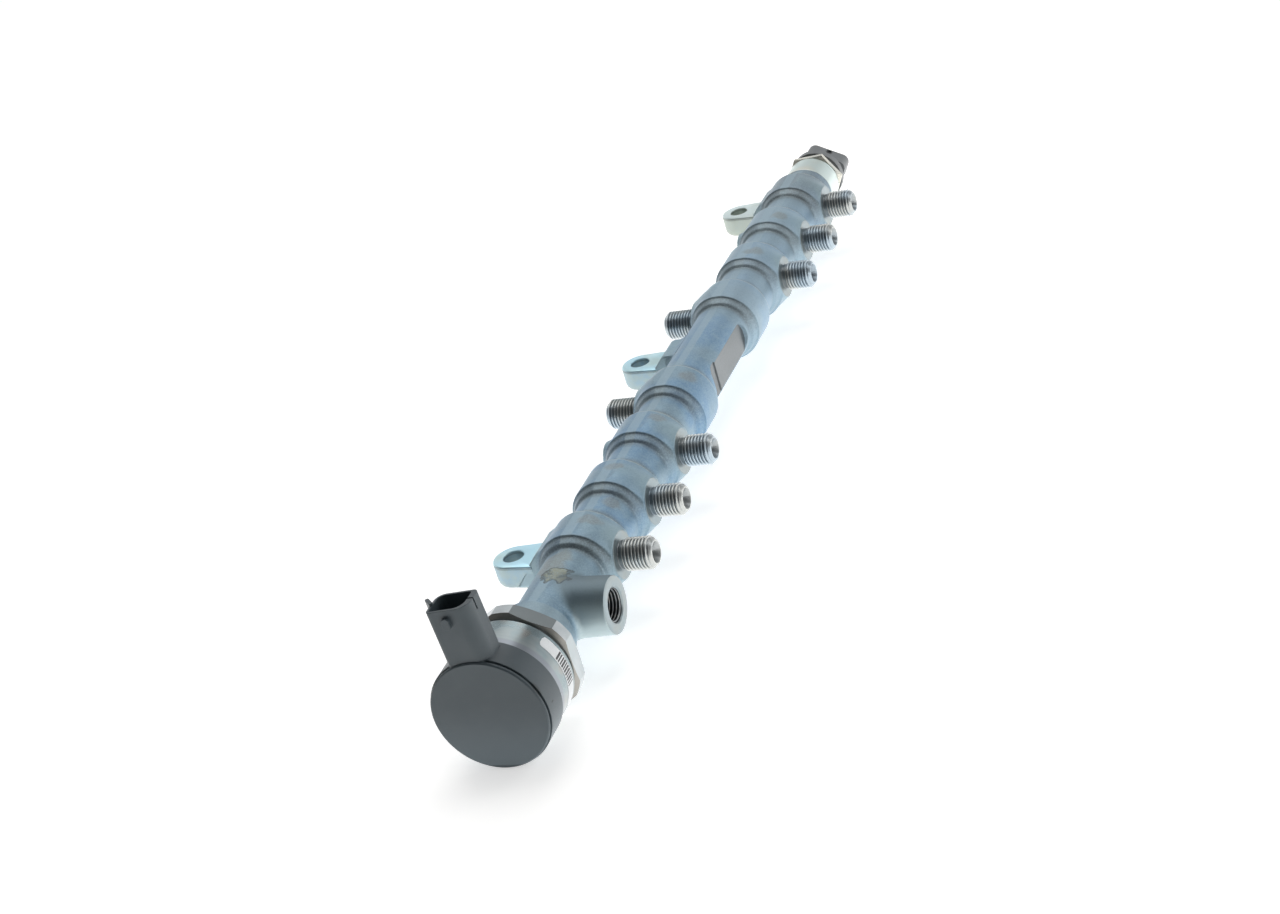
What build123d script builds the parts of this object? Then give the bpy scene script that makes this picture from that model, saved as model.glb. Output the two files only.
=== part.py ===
from build123d import *
import os
from math import cos, radians, sin, sqrt, tan

# Common rail of a six-cylinder diesel engine, in millimetres.
# The rail runs along Y, the injector stubs point along +X and the bolt lugs stand out to -X.
# Origin: the middle lug's bolt hole, on the seat under the lug. +Z points to the bolt heads.

# Places of the rail axis from the bolt line and the bolt seats
bolt_line_to_axis = 31.9
seat_to_axis = 7.7

# Forged body
neck_radius = 13.7
near_neck_radius = 13.3
bulge_radius = 17.0
bulge_front = 10.0
bulge_back = 9.0
rim_blend = 0.4
lip_radius = 16.1
lip_run = 0.5
lip_blend = 0.7
knee_radius = 15.0
knee_run = 3.6
knee_blend = 0.8
foot_run = 4.5
foot_blend = 1.0
inner_station = 45.3
stub_pitch = 43.0
stubs_each_end = 3
main_bore_radius = 5.0

# Turned ends of the rail
near_collar_radius = 15.8
near_collar_length = 15.0
near_end = -247.0
far_collar_radius = 14.0
far_collar_length = 15.6
far_end = 210.4
collar_chamfer = 0.8

# Threaded stubs for the high-pressure pipes
stub_face = 16.7
stub_face_radius = 10.0
spot_face_radius = 10.15
stub_flare_depth = 8.2
stub_flare_half_height = 14.6
stub_flare_half_width = 11.2
injector_stub_reach = 31.4
pump_stub_reach = 32.7
stub_thread_radius = 6.9
stub_undercut_radius = 5.9
stub_undercut_width = 1.5
stub_tip_radius = 5.1
stub_tip_chamfer = 2.2
cone_mouth_radius = 4.5
cone_half_angle = 30.0
stub_bore_radius = 1.5

# Return boss with an internal thread
return_station = -213.3
return_reach = 26.5
return_face_radius = 11.75
return_root_radius = 12.7
return_thread_radius = 7.0
return_mouth_radius = 7.5
return_thread_depth = 12.5
return_drill_radius = 2.5

# Bolt lugs
lug_pitch = 174.3
lug_nose_radius = 9.0
lug_root_half_width = 9.8
lug_thickness = 11.0
lug_hole_radius = 4.5
lug_hole_chamfer = 0.3
lug_edge_chamfer = 0.7
lug_under_blend = 3.0
lug_wall_from_axis = 22.0
web_half_width = 9.2
web_foot = 18.9
web_foot_height = 6.4
web_corner = 17.3
web_corner_height = 8.4
web_top = 15.2
web_top_height = 9.2
web_reach = 10.1

# Blank forging pads opposite the third and sixth injector stubs
pad_radius = 7.5
pad_reach = 18.7

# Milled flat on the middle of the rail
flat_depth = 1.9
flat_start = -27.5
flat_stop = 26.6
flat_cutter_radius = 7.6
flat_step = 0.5
flat_step_length = 10.5

# Bore for the pressure control valve, stations counted from the near end of the rail
valve_thread_radius = 11.0
valve_thread_depth = 20.0
valve_land_radius = 9.0
valve_land_length = 6.0
gallery_radius = 9.6
gallery_length = 12.5
valve_seat_bore_radius = 6.3
valve_nose_depth = 43.0

# Bore for the pressure sensor
sensor_thread_radius = 9.0
sensor_thread_depth = 14.4

# Clearances
thread_clearance = 0.05
slip_clearance = 0.1
guide_clearance = 0.04
contact_gap = 0.02

# Pressure control valve, outside
hex_flats = 45.5
hex_corner_radius = 24.4
hex_angle = 32.0
hex_thickness = 7.7
hex_chamfer_radius = 22.4
hex_chamfer_run = 1.0
waist_radius = 21.4
waist_length = 2.7
can_radius = 23.4
can_length = 15.0
can_wall = 1.5
can_floor = 2.0
cap_radius = 24.1
cap_length = 14.5
cap_disc_radius = 23.6
cap_disc_thickness = 1.4
cap_groove_radius = 22.9
cap_groove_width = 0.6
cap_edge_blend = 0.5

# Pressure control valve, inside
nose_tip_length = 5.5
nose_stem_radius = 7.4
thread_relief = 1.6
seat_insert_radius = 3.2
seat_insert_length = 7.0
strainer_length = 2.6
strainer_wall = 0.5
strainer_hole_radius = 0.4
strainer_ring_radius = 1.6
strainer_hole_count = 6
orifice_radius = 0.6
seat_mouth_radius = 1.5
ball_radius = 1.5
ball_room = 3.0
ball_room_radius = 2.8
return_hole_radius = 1.0
return_hole_count = 4
guide_radius = 2.0
pin_chamfer = 0.3
pole_radius = 8.2
pole_proud = 0.4
armature_gap = 0.5
armature_radius = 11.5
armature_thickness = 3.0
armature_hole_radius = 1.1
armature_hole_count = 6
spring_pocket_radius = 4.8
spring_pocket_depth = 1.2
spring_wire_radius = 0.45
spring_mean_radius = 3.9
spring_turns = 3
shim_thickness = 0.8
shim_radius = 5.2
cover_radius = 13.5
cover_wall = 1.3
cover_length = 9.5
cover_floor = 1.5
bobbin_flange_radius = 21.6
bobbin_wall = 1.2
bobbin_proud = 1.2
winding_radius = 20.2
cap_spigot_radius = 21.7
ring_groove_radius = 7.3
ring_groove_width = 2.6
backup_ring_width = 0.8
can_ring_radius = 13.0
can_ring_wire_radius = 0.9

# Connector tower of the valve
tower_angle = 4.2
tower_shift = 0.05
tower_width = 17.5
tower_depth = 13.0
tower_front_left_corner = 1.6
tower_front_right_corner = 5.5
tower_back_right_corner = 2.2
tower_back_left_corner = 4.2
tower_front_inset = 0.9
tower_height = 46.4
tower_root = 15.0
tower_wall = 1.0
tower_right_wall = 2.4
tower_pocket_depth = 18.0
pin_blade_width = 2.8
pin_blade_thickness = 0.8
pin_pitch = 5.2
pin_below_mouth = 7.0
pin_foot = 17.0
nub_width = 3.2
nub_height = 4.7
nub_stand = 1.6
nub_drop = 2.8
nub_corner = 1.25
nub_shift = -1.4
tower_slot_width = 0.8
tower_slot_depth = 4.8
tower_slot_back = 0.4
ear_length = 4.4
ear_thickness = 1.6
ear_height = 5.5
ear_rise = 1.0
ear_angle = 133.0
ear_front = 1.0

# Pressure sensor
sensor_gap = 1.0
sensor_hex_flats = 27.0
sensor_hex_thickness = 2.8
sensor_hex_angle = 2.7
sensor_nose_radius = 6.4
sensor_nose_length = 1.8
sensor_shell_radius = 11.4
sensor_shell_length = 2.2
sensor_room_radius = 8.8
sensor_ledge_radius = 7.4
sensor_room_depth = 6.8
sensor_ledge_height = 2.4
pressure_bore_radius = 2.0
diaphragm_thickness = 1.0
element_radius = 2.6
element_thickness = 0.8
board_thickness = 1.2
plug_ring_radius = 14.0
plug_ring_thickness = 4.4
plug_angle = -29.0
plug_width = 22.8
plug_shift = 0.4
plug_height = 13.2
plug_corner = 4.0
plug_length = 19.5
plug_wall = 1.4
plug_pocket_depth = 9.0
plug_neck_length = 9.4
plug_neck_width = 14.6
plug_spigot_length = 2.6
plug_recess_width = 2.6
plug_recess_length = 4.4
plug_recess_depth = 0.9
plug_recess_to_mouth = 0.8
seal_wire_radius = 0.7
sensor_pin_size = 0.64
sensor_pin_pitch = 4.0
sensor_pin_below_mouth = 5.0

# Lines and planes that the pieces share
axis_point = (bolt_line_to_axis, 0, seat_to_axis)
rail_axis = Axis(axis_point, (0, 1, 0))
half_rail = Plane(origin=axis_point, x_dir=(0, 1, 0), z_dir=(1, 0, 0))
stations = [side * (inner_station + step * stub_pitch)
            for side in (-1, 1) for step in range(stubs_each_end + 1)]
pump_stations = (-inner_station, inner_station)
pad_stations = (-inner_station - stub_pitch, inner_station + 2 * stub_pitch)

# Stations of the valve, going outwards from the tip of its nose
nose_tip = near_end + valve_nose_depth
seat_bore_end = near_end + valve_thread_depth + valve_land_length + gallery_length
gallery_end = near_end + valve_thread_depth + valve_land_length
thread_end = near_end + valve_thread_depth
hex_face = near_end - hex_thickness
can_back = hex_face - waist_length
can_front = can_back - can_length
cap_front = can_front - cap_length
insert_back = nose_tip - strainer_length
insert_front = insert_back - seat_insert_length
cone_apex = insert_front + seat_mouth_radius
ball_centre = cone_apex - sqrt(2) * (ball_radius + contact_gap)
pin_back = ball_centre - ball_radius - contact_gap
guide_back = insert_front - ball_room
bobbin_back = can_back - can_floor - contact_gap
bobbin_front = can_front + bobbin_proud
pole_face = bobbin_front - pole_proud
armature_back = pole_face - armature_gap
armature_front = armature_back - armature_thickness
cover_back = bobbin_front - contact_gap
cover_front = cover_back - cover_length
shim_back = cover_front + cover_floor + shim_thickness
guide_pin_radius = guide_radius - guide_clearance

# Stations of the sensor, going outwards from the tip of its nose
sensor_tip = far_end - sensor_thread_depth
sensor_hex_back = far_end + sensor_gap
sensor_hex_front = sensor_hex_back + sensor_hex_thickness
shell_front = sensor_hex_front + sensor_shell_length
room_back = shell_front - sensor_room_depth
board_back = room_back + sensor_ledge_height
ring_front = shell_front + plug_ring_thickness
plug_front = ring_front + plug_length


def turn(points, mode=Mode.ADD):
    """Turns a closed outline of (station, radius) points about the rail axis."""
    with BuildSketch(half_rail) as section:
        with BuildLine():
            Polyline(*points, close=True)
        make_face()
    revolve(section.sketch, axis=rail_axis, mode=mode)


def bar(start, stop, radius, mode=Mode.ADD):
    """A round bar, or a bore with Mode.SUBTRACT, along the rail axis."""
    turn([(start, 0), (start, radius), (stop, radius), (stop, 0)], mode)


def tube(start, stop, inner, outer, mode=Mode.ADD):
    """A ring with a rectangular section about the rail axis."""
    turn([(start, inner), (start, outer), (stop, outer), (stop, inner)], mode)


def across(station):
    """A plane across the rail at a station, its local x along X and its local y along Z."""
    return Plane(origin=(bolt_line_to_axis, station, seat_to_axis), x_dir=(1, 0, 0), z_dir=(0, -1, 0))


def sideways(station, side):
    """The half plane for turning a stub: local x runs out of the rail on that side."""
    centre = (bolt_line_to_axis, station, seat_to_axis)
    return Plane(origin=centre, x_dir=(side, 0, 0), z_dir=(0, -side, 0))


def facing(station, side, reach):
    """A plane that faces out of the rail on that side, its local x along Y."""
    centre = (bolt_line_to_axis + side * reach, station, seat_to_axis)
    return Plane(origin=centre, x_dir=(0, 1, 0), z_dir=(side, 0, 0))


def turn_sideways(station, side, points, mode=Mode.ADD):
    """Turns (distance from the rail axis, radius) points about a stub's own axis."""
    with BuildSketch(sideways(station, side)) as section:
        with BuildLine():
            Polyline(*points, close=True)
        make_face()
    own_axis = Axis((bolt_line_to_axis, station, seat_to_axis), (side, 0, 0))
    revolve(section.sketch, axis=own_axis, mode=mode)


def rail_outline():
    """The forging's outline from the near end to the far end, one bulge for each stub."""
    collar_front = near_end + near_collar_length
    points = [(near_end, 0), (near_end, near_collar_radius - collar_chamfer),
              (near_end + collar_chamfer, near_collar_radius), (collar_front, near_collar_radius),
              (collar_front + collar_chamfer, near_neck_radius)]
    for station in sorted(stations):
        foot = near_neck_radius if station == min(stations) else neck_radius
        front = station - bulge_front
        back = station + bulge_back
        points += [(front - foot_run, foot), (front - knee_run, knee_radius), (front - lip_run, lip_radius),
                   (front, bulge_radius), (back, bulge_radius), (back + lip_run, lip_radius),
                   (back + knee_run, knee_radius), (back + foot_run, neck_radius)]
    collar_back = far_end - far_collar_length
    points += [(collar_back - collar_chamfer, neck_radius - collar_chamfer), (collar_back, far_collar_radius),
               (far_end - collar_chamfer, far_collar_radius), (far_end, far_collar_radius - collar_chamfer),
               (far_end, 0)]
    return points


def stub(station, side, reach):
    """Forged flare, machined face, threaded stub, sealing cone and cross drilling."""
    with BuildSketch(facing(station, side, stub_face)) as face:
        Circle(stub_face_radius)
    with BuildSketch(facing(station, side, stub_flare_depth)) as root:
        Ellipse(stub_flare_half_width, stub_flare_half_height)
    loft([face.sketch, root.sketch])
    turn_sideways(station, side, [
        (0, 0), (0, stub_undercut_radius), (stub_face + stub_undercut_width, stub_undercut_radius),
        (stub_face + stub_undercut_width, stub_thread_radius), (reach - stub_tip_chamfer, stub_thread_radius),
        (reach, stub_tip_radius), (reach, 0)])


def spot_face(station, side):
    """The machined face round a stub, cut into the bulge where the bulge stands higher than the face."""
    clear = bulge_radius + 1
    turn_sideways(station, side, [
        (stub_face, stub_undercut_radius), (stub_face, spot_face_radius),
        (clear, spot_face_radius), (clear, stub_undercut_radius)], Mode.SUBTRACT)


def stub_passage(station, side, reach):
    """The sealing cone for the pipe and the drilling that leads to the main bore."""
    cone_depth = (cone_mouth_radius - stub_bore_radius) / tan(radians(cone_half_angle))
    turn_sideways(station, side, [
        (0, 0), (0, stub_bore_radius), (reach - cone_depth, stub_bore_radius),
        (reach, cone_mouth_radius), (reach, 0)], Mode.SUBTRACT)


def lug_web(station):
    """The web that rises from a lug's machined top to the rail, drawn across the rail and given its width."""
    top = lug_thickness - seat_to_axis
    with BuildSketch(across(station)) as section:
        with BuildLine():
            Polyline((-lug_wall_from_axis, top - 2), (-lug_wall_from_axis, top), (-web_foot, web_foot_height),
                     (-web_corner, web_corner_height), (-web_top, web_top_height), (-web_reach, web_top_height),
                     (-main_bore_radius, top), (-main_bore_radius, top - 2), close=True)
        make_face()
    extrude(section.sketch, amount=web_half_width, both=True)


# Lugs are shaped apart, so that their edges can be blended before they join the forging
with BuildPart() as lugs:
    for station in (-lug_pitch, 0, lug_pitch):
        with BuildSketch(Plane.XY):
            with Locations((0, station)):
                Circle(lug_nose_radius)
            with Locations((bolt_line_to_axis - lug_wall_from_axis / 2, station)):
                Rectangle(lug_wall_from_axis, 2 * lug_root_half_width)
            make_hull()
    extrude(amount=lug_thickness)
    fillet(lugs.faces().sort_by(Axis.Z)[:3].edges(), lug_under_blend)
    chamfer(lugs.faces().sort_by(Axis.Z)[-3:].edges(), lug_edge_chamfer)


with BuildPart() as rail_body:
    with BuildSketch(half_rail) as outline:
        with BuildLine():
            Polyline(*rail_outline(), close=True)
        make_face()
        for level, blend in ((neck_radius, foot_blend), (near_neck_radius, foot_blend), (knee_radius, knee_blend),
                             (lip_radius, lip_blend), (bulge_radius, rim_blend)):
            within = max(stations) + bulge_back + foot_run + 0.1
            fillet([v for v in outline.vertices() if abs(v.Y - level) < 0.01 and abs(v.X) < within], blend)
    revolve(axis=rail_axis)
    for station in stations:
        if station in pump_stations:
            stub(station, -1, pump_stub_reach)
        else:
            stub(station, 1, injector_stub_reach)
    for station in stations:
        spot_face(station, -1 if station in pump_stations else 1)
    for station in pad_stations:
        with BuildSketch(facing(station, -1, pad_reach)):
            Circle(pad_radius)
        extrude(amount=-pad_reach / 2, taper=-8)
    for station in (-lug_pitch, 0, lug_pitch):
        lug_web(station)
    add(lugs.part)

    # Return boss
    turn_sideways(return_station, 1, [
        (0, 0), (0, return_root_radius), (return_reach - 0.8, return_face_radius),
        (return_reach, return_face_radius - 0.8), (return_reach, 0)])

    # Milled flat with a deeper step at its near end
    flat_level = neck_radius - flat_depth
    flat_centre = (flat_start + flat_stop) / 2
    with BuildSketch(facing(flat_centre, 1, flat_level)):
        SlotOverall(flat_stop - flat_start, 2 * flat_cutter_radius)
    extrude(amount=2 * flat_depth, mode=Mode.SUBTRACT)
    with BuildSketch(facing(flat_centre, 1, flat_level - flat_step)):
        SlotOverall(flat_stop - flat_start, 2 * flat_cutter_radius)
        with Locations((flat_step_length / 2, 0)):
            Rectangle(flat_stop - flat_start - flat_step_length, 2 * flat_cutter_radius, mode=Mode.SUBTRACT)
    extrude(amount=flat_step, mode=Mode.SUBTRACT)

    # Main bore and the bores for the valve and the sensor
    bar(nose_tip, sensor_tip, main_bore_radius, Mode.SUBTRACT)
    bar(nose_tip, seat_bore_end, valve_seat_bore_radius, Mode.SUBTRACT)
    bar(seat_bore_end, gallery_end, gallery_radius, Mode.SUBTRACT)
    bar(gallery_end, thread_end, valve_land_radius, Mode.SUBTRACT)
    bar(thread_end, near_end, valve_thread_radius, Mode.SUBTRACT)
    bar(sensor_tip, far_end, sensor_thread_radius, Mode.SUBTRACT)

    # Drillings
    for station in stations:
        if station in pump_stations:
            stub_passage(station, -1, pump_stub_reach)
        else:
            stub_passage(station, 1, injector_stub_reach)
    turn_sideways(return_station, 1, [
        (0, 0), (0, return_drill_radius), (return_reach - return_thread_depth, return_drill_radius),
        (return_reach - return_thread_depth, return_thread_radius),
        (return_reach - (return_mouth_radius - return_thread_radius), return_thread_radius),
        (return_reach, return_mouth_radius), (return_reach, 0)], Mode.SUBTRACT)
    with BuildSketch(Plane.XY.offset(lug_thickness)):
        with Locations(*[(0, station) for station in (-lug_pitch, 0, lug_pitch)]):
            Circle(lug_hole_radius)
    extrude(amount=-lug_thickness, mode=Mode.SUBTRACT)
    with BuildSketch(Plane.XY.offset(lug_thickness)):
        with Locations(*[(0, station) for station in (-lug_pitch, 0, lug_pitch)]):
            Circle(lug_hole_radius + lug_hole_chamfer)
    extrude(amount=-lug_hole_chamfer, taper=45, mode=Mode.SUBTRACT)
rail_body.part.label = "rail_body"


# Strainer cup in the tip of the valve's nose
strainer_tip = nose_tip - slip_clearance
with BuildPart() as nose_strainer:
    bar(strainer_tip, insert_back, seat_insert_radius)
    bar(strainer_tip - strainer_wall, insert_back, seat_insert_radius - strainer_wall, Mode.SUBTRACT)
    with BuildSketch(across(strainer_tip)):
        Circle(strainer_hole_radius)
        with PolarLocations(strainer_ring_radius, strainer_hole_count):
            Circle(strainer_hole_radius)
    extrude(amount=2 * strainer_wall, mode=Mode.SUBTRACT)
nose_strainer.part.label = "nose_strainer"

# Hardened insert with the orifice and the seat cone for the ball
with BuildPart() as valve_seat:
    bar(insert_back, insert_front, seat_insert_radius)
    turn([(insert_back, 0), (insert_back, orifice_radius), (cone_apex, orifice_radius),
          (insert_front, seat_mouth_radius), (insert_front, 0)], Mode.SUBTRACT)
valve_seat.part.label = "valve_seat"

# Ball that closes the orifice
with BuildPart() as valve_ball:
    with Locations((bolt_line_to_axis, ball_centre, seat_to_axis)):
        Sphere(ball_radius)
valve_ball.part.label = "valve_ball"

# Pin between the ball and the armature
with BuildPart() as valve_pin:
    turn([(pin_back, 0), (pin_back, guide_pin_radius - pin_chamfer), (pin_back - pin_chamfer, guide_pin_radius),
          (armature_back, guide_pin_radius), (armature_back, 0)])
valve_pin.part.label = "valve_pin"

# Armature plate with a pocket for the spring and holes that let fuel past it
with BuildPart() as armature:
    bar(armature_back, armature_front, armature_radius)
    bar(armature_front, armature_front + spring_pocket_depth, spring_pocket_radius, Mode.SUBTRACT)
    with BuildSketch(across(armature_back)):
        with PolarLocations((armature_radius + spring_pocket_radius) / 2, armature_hole_count):
            Circle(armature_hole_radius)
    extrude(amount=armature_thickness, mode=Mode.SUBTRACT)
armature.part.label = "armature"

# Spring that pushes the armature towards the seat
spring_back = armature_front + spring_pocket_depth
spring_length = spring_back - shim_back
with BuildPart() as valve_spring:
    wire_path = spring_length - 2 * spring_wire_radius - 2 * contact_gap
    start = (bolt_line_to_axis, shim_back + spring_wire_radius + contact_gap, seat_to_axis)
    with BuildLine():
        Helix(pitch=wire_path / spring_turns, height=wire_path, radius=spring_mean_radius,
              center=start, direction=(0, 1, 0))
    with BuildSketch(Plane(origin=valve_spring.pending_edges[0] @ 0, z_dir=valve_spring.pending_edges[0] % 0)):
        Circle(spring_wire_radius)
    sweep()
valve_spring.part.label = "valve_spring"

# Shim that sets the spring's load
with BuildPart() as spring_shim:
    bar(cover_front + cover_floor, shim_back, shim_radius)
spring_shim.part.label = "spring_shim"

# Drawn cover over the armature
with BuildPart() as armature_cover:
    bar(cover_back, cover_front, cover_radius)
    bar(cover_back, cover_front + cover_floor, cover_radius - cover_wall, Mode.SUBTRACT)
    fillet(armature_cover.edges().group_by(Axis.Y)[0], cover_wall)
armature_cover.part.label = "armature_cover"

# Coil: the bobbin around the pole and the winding on it
with BuildPart() as coil_bobbin:
    tube(bobbin_back, bobbin_front, pole_radius + slip_clearance, bobbin_flange_radius)
    tube(bobbin_back - bobbin_wall, bobbin_front + bobbin_wall,
         pole_radius + bobbin_wall, bobbin_flange_radius, Mode.SUBTRACT)
coil_bobbin.part.label = "coil_bobbin"

with BuildPart() as coil_winding:
    tube(bobbin_back - bobbin_wall, bobbin_front + bobbin_wall, pole_radius + bobbin_wall, winding_radius)
coil_winding.part.label = "coil_winding"

# Steel can around the coil
with BuildPart() as magnet_can:
    bar(can_back, can_front, can_radius)
    bar(can_back - can_floor, can_front, can_radius - can_wall, Mode.SUBTRACT)
    bar(can_back, can_front, pole_radius + slip_clearance, Mode.SUBTRACT)
magnet_can.part.label = "magnet_can"

# Sealing rings of the valve
groove_back = gallery_end - valve_land_length / 4
ring_station = groove_back - backup_ring_width - ring_groove_width / 2
ring_wire_radius = (valve_land_radius - ring_groove_radius) / 2
with BuildPart() as nose_o_ring:
    with BuildSketch(half_rail):
        with Locations((ring_station, ring_groove_radius + ring_wire_radius)):
            Circle(ring_wire_radius)
    revolve(axis=rail_axis)
nose_o_ring.part.label = "nose_o_ring"

with BuildPart() as backup_ring:
    tube(groove_back, groove_back - backup_ring_width, ring_groove_radius, valve_land_radius)
backup_ring.part.label = "backup_ring"

with BuildPart() as can_o_ring:
    with BuildSketch(half_rail):
        with Locations((can_back + can_ring_wire_radius, can_ring_radius)):
            Circle(can_ring_wire_radius)
    revolve(axis=rail_axis)
can_o_ring.part.label = "can_o_ring"

# Valve housing: nose, thread, hexagon and the pole of the coil in one turned piece
land_radius = valve_land_radius - slip_clearance
male_thread_radius = valve_thread_radius - thread_clearance
tip_radius = valve_seat_bore_radius - slip_clearance
tip_front = strainer_tip - nose_tip_length
with BuildPart() as valve_hexagon:
    with BuildSketch(across(near_end - contact_gap)):
        RegularPolygon(hex_flats / 2, 6, major_radius=False, rotation=hex_angle)
    extrude(amount=hex_thickness - contact_gap)
    turn([(near_end - contact_gap, 0), (near_end - contact_gap, hex_chamfer_radius),
          (near_end - hex_chamfer_run, hex_corner_radius), (hex_face + hex_chamfer_run, hex_corner_radius),
          (hex_face, hex_chamfer_radius), (hex_face, 0)], Mode.INTERSECT)

with BuildPart() as valve_housing:
    turn([(strainer_tip, 0), (strainer_tip, tip_radius - 0.6), (strainer_tip - 0.6, tip_radius),
          (tip_front, tip_radius), (tip_front - 1, nose_stem_radius), (gallery_end + 1, nose_stem_radius),
          (gallery_end, land_radius), (thread_end - thread_relief, land_radius),
          (thread_end - thread_relief - 1, male_thread_radius), (near_end - 1, male_thread_radius),
          (near_end - 1, 0)])
    add(valve_hexagon.part)
    bar(hex_face + 1, can_back, waist_radius)
    bar(can_back + 1, pole_face, pole_radius)
    bar(strainer_tip, insert_front, seat_insert_radius, Mode.SUBTRACT)
    bar(insert_front, guide_back, ball_room_radius, Mode.SUBTRACT)
    bar(guide_back, pole_face, guide_radius, Mode.SUBTRACT)
    tube(groove_back, groove_back - backup_ring_width - ring_groove_width,
         ring_groove_radius, valve_thread_radius, Mode.SUBTRACT)
    tube(can_back, can_back + 2 * can_ring_wire_radius, can_ring_radius - can_ring_wire_radius,
         can_ring_radius + can_ring_wire_radius, Mode.SUBTRACT)
    hole_station = (insert_front + guide_back) / 2
    for turn_number in range(return_hole_count):
        angle = radians(45 + turn_number * 360 / return_hole_count)
        centre = (bolt_line_to_axis, hole_station, seat_to_axis)
        with BuildSketch(Plane(origin=centre, x_dir=(0, 1, 0), z_dir=(cos(angle), 0, sin(angle)))):
            Circle(return_hole_radius)
        extrude(amount=valve_land_radius, mode=Mode.SUBTRACT)
valve_housing.part.label = "valve_housing"


def up_the_tower(height):
    """A plane across the connector tower at a height from the rail axis, its local y along Y."""
    lean = radians(tower_angle)
    up = (-sin(lean), 0, cos(lean))
    centre = (bolt_line_to_axis + up[0] * height, tower_station, seat_to_axis + up[2] * height)
    return Plane(origin=centre, x_dir=(cos(lean), 0, sin(lean)), z_dir=up)


def tower_front(height):
    """A plane on the inside of the tower's front wall at a height, facing the front, its local y up the tower."""
    base = up_the_tower(height)
    inside = base.origin - Vector(0, tower_depth / 2 - tower_wall / 2, 0)
    return Plane(origin=inside, x_dir=base.x_dir, z_dir=(0, -1, 0))


def round_corners(sketch, inset):
    """Rounds the four corners of a tower outline, each by its own radius less the inset."""
    for left_right, front_back, radius in ((-1, -1, tower_front_left_corner), (1, -1, tower_front_right_corner),
                                           (1, 1, tower_back_right_corner), (-1, 1, tower_back_left_corner)):
        corner = sketch.vertices().sort_by(lambda v: left_right * v.X + front_back * v.Y)[-1]
        fillet(corner, max(radius - inset, tower_wall / 2))


# Contact blades of the valve: upright in the tower, with a foot that runs to the coil
tower_station = cap_front + tower_front_inset + tower_depth / 2
blade_tip = tower_height - pin_below_mouth
blade_foot_length = bobbin_front - tower_station + pin_blade_thickness / 2
blade_shifts = (tower_shift - pin_pitch / 2, tower_shift + pin_pitch / 2)
with BuildPart() as valve_contact_pins:
    with BuildSketch(up_the_tower(pin_foot)):
        with Locations(*[(shift, 0) for shift in blade_shifts]):
            Rectangle(pin_blade_width, pin_blade_thickness)
    extrude(amount=blade_tip - pin_foot)
    with BuildSketch(up_the_tower(pin_foot)):
        foot_middle = (blade_foot_length - pin_blade_thickness) / 2
        with Locations(*[(shift, foot_middle) for shift in blade_shifts]):
            Rectangle(pin_blade_width, blade_foot_length)
    extrude(amount=pin_blade_thickness)
valve_contact_pins.part.label = "valve_contact_pins"

# Plastic cap over the coil end with the connector tower
with BuildPart() as end_cap:
    groove_front = cap_front + cap_disc_thickness
    turn([(can_front, 0), (can_front, cap_radius - cap_edge_blend), (can_front - cap_edge_blend, cap_radius),
          (groove_front + cap_groove_width, cap_radius), (groove_front + cap_groove_width, cap_groove_radius),
          (groove_front, cap_groove_radius), (groove_front, cap_disc_radius),
          (cap_front + cap_edge_blend, cap_disc_radius), (cap_front, cap_disc_radius - cap_edge_blend),
          (cap_front, 0)])
    with BuildSketch(up_the_tower(tower_root)) as tower_outline:
        with Locations((tower_shift, 0)):
            Rectangle(tower_width, tower_depth)
        round_corners(tower_outline, 0)
    extrude(amount=tower_height - tower_root)
    with BuildSketch(tower_front(tower_height - nub_drop - nub_height / 2)):
        with Locations((tower_shift + nub_shift, 0)):
            RectangleRounded(nub_width, nub_height, nub_corner)
    extrude(amount=nub_stand + tower_wall / 2)
    with BuildSketch(up_the_tower(tower_height - ear_height)):
        ear_root = (tower_shift - tower_width / 2 + tower_wall / 2, -ear_front)
        reach = (cos(radians(ear_angle)) * ear_length, sin(radians(ear_angle)) * ear_length)
        with Locations((ear_root[0] + reach[0] / 2, ear_root[1] + reach[1] / 2)):
            SlotOverall(ear_length + 1.2, ear_thickness, rotation=ear_angle)
    extrude(amount=ear_height + ear_rise)
    with BuildSketch(up_the_tower(tower_height + ear_rise)) as tower_pocket:
        with Locations((tower_shift - (tower_right_wall - tower_wall) / 2, 0)):
            Rectangle(tower_width - tower_wall - tower_right_wall, tower_depth - 2 * tower_wall)
        round_corners(tower_pocket, tower_wall)
    extrude(amount=-tower_pocket_depth - ear_rise, mode=Mode.SUBTRACT)
    with BuildSketch(up_the_tower(tower_height)):
        with Locations((tower_shift + tower_width / 2, tower_slot_back)):
            Rectangle(2.2 * tower_right_wall, tower_slot_width)
    extrude(amount=-tower_slot_depth, mode=Mode.SUBTRACT)
    tube(can_front - 1, bobbin_front - contact_gap, cover_radius + slip_clearance, cap_spigot_radius)
    bar(bobbin_front, cover_front - slip_clearance, cover_radius + slip_clearance, Mode.SUBTRACT)
    add(valve_contact_pins.part, mode=Mode.SUBTRACT)
end_cap.part.label = "end_cap"

# Sensor body: hexagon, thread, rolled shell, pressure bore and the thin floor under the element
with BuildPart() as sensor_hexagon:
    with BuildSketch(across(sensor_hex_back)):
        RegularPolygon(sensor_hex_flats / 2, 6, major_radius=False, rotation=sensor_hex_angle)
    extrude(amount=-sensor_hex_thickness)
    turn([(sensor_hex_back, 0), (sensor_hex_back, sensor_hex_flats / 2),
          (sensor_hex_back + 0.9, sensor_hex_flats / sqrt(3)), (sensor_hex_front, sensor_hex_flats / sqrt(3)),
          (sensor_hex_front, 0)], Mode.INTERSECT)

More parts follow.
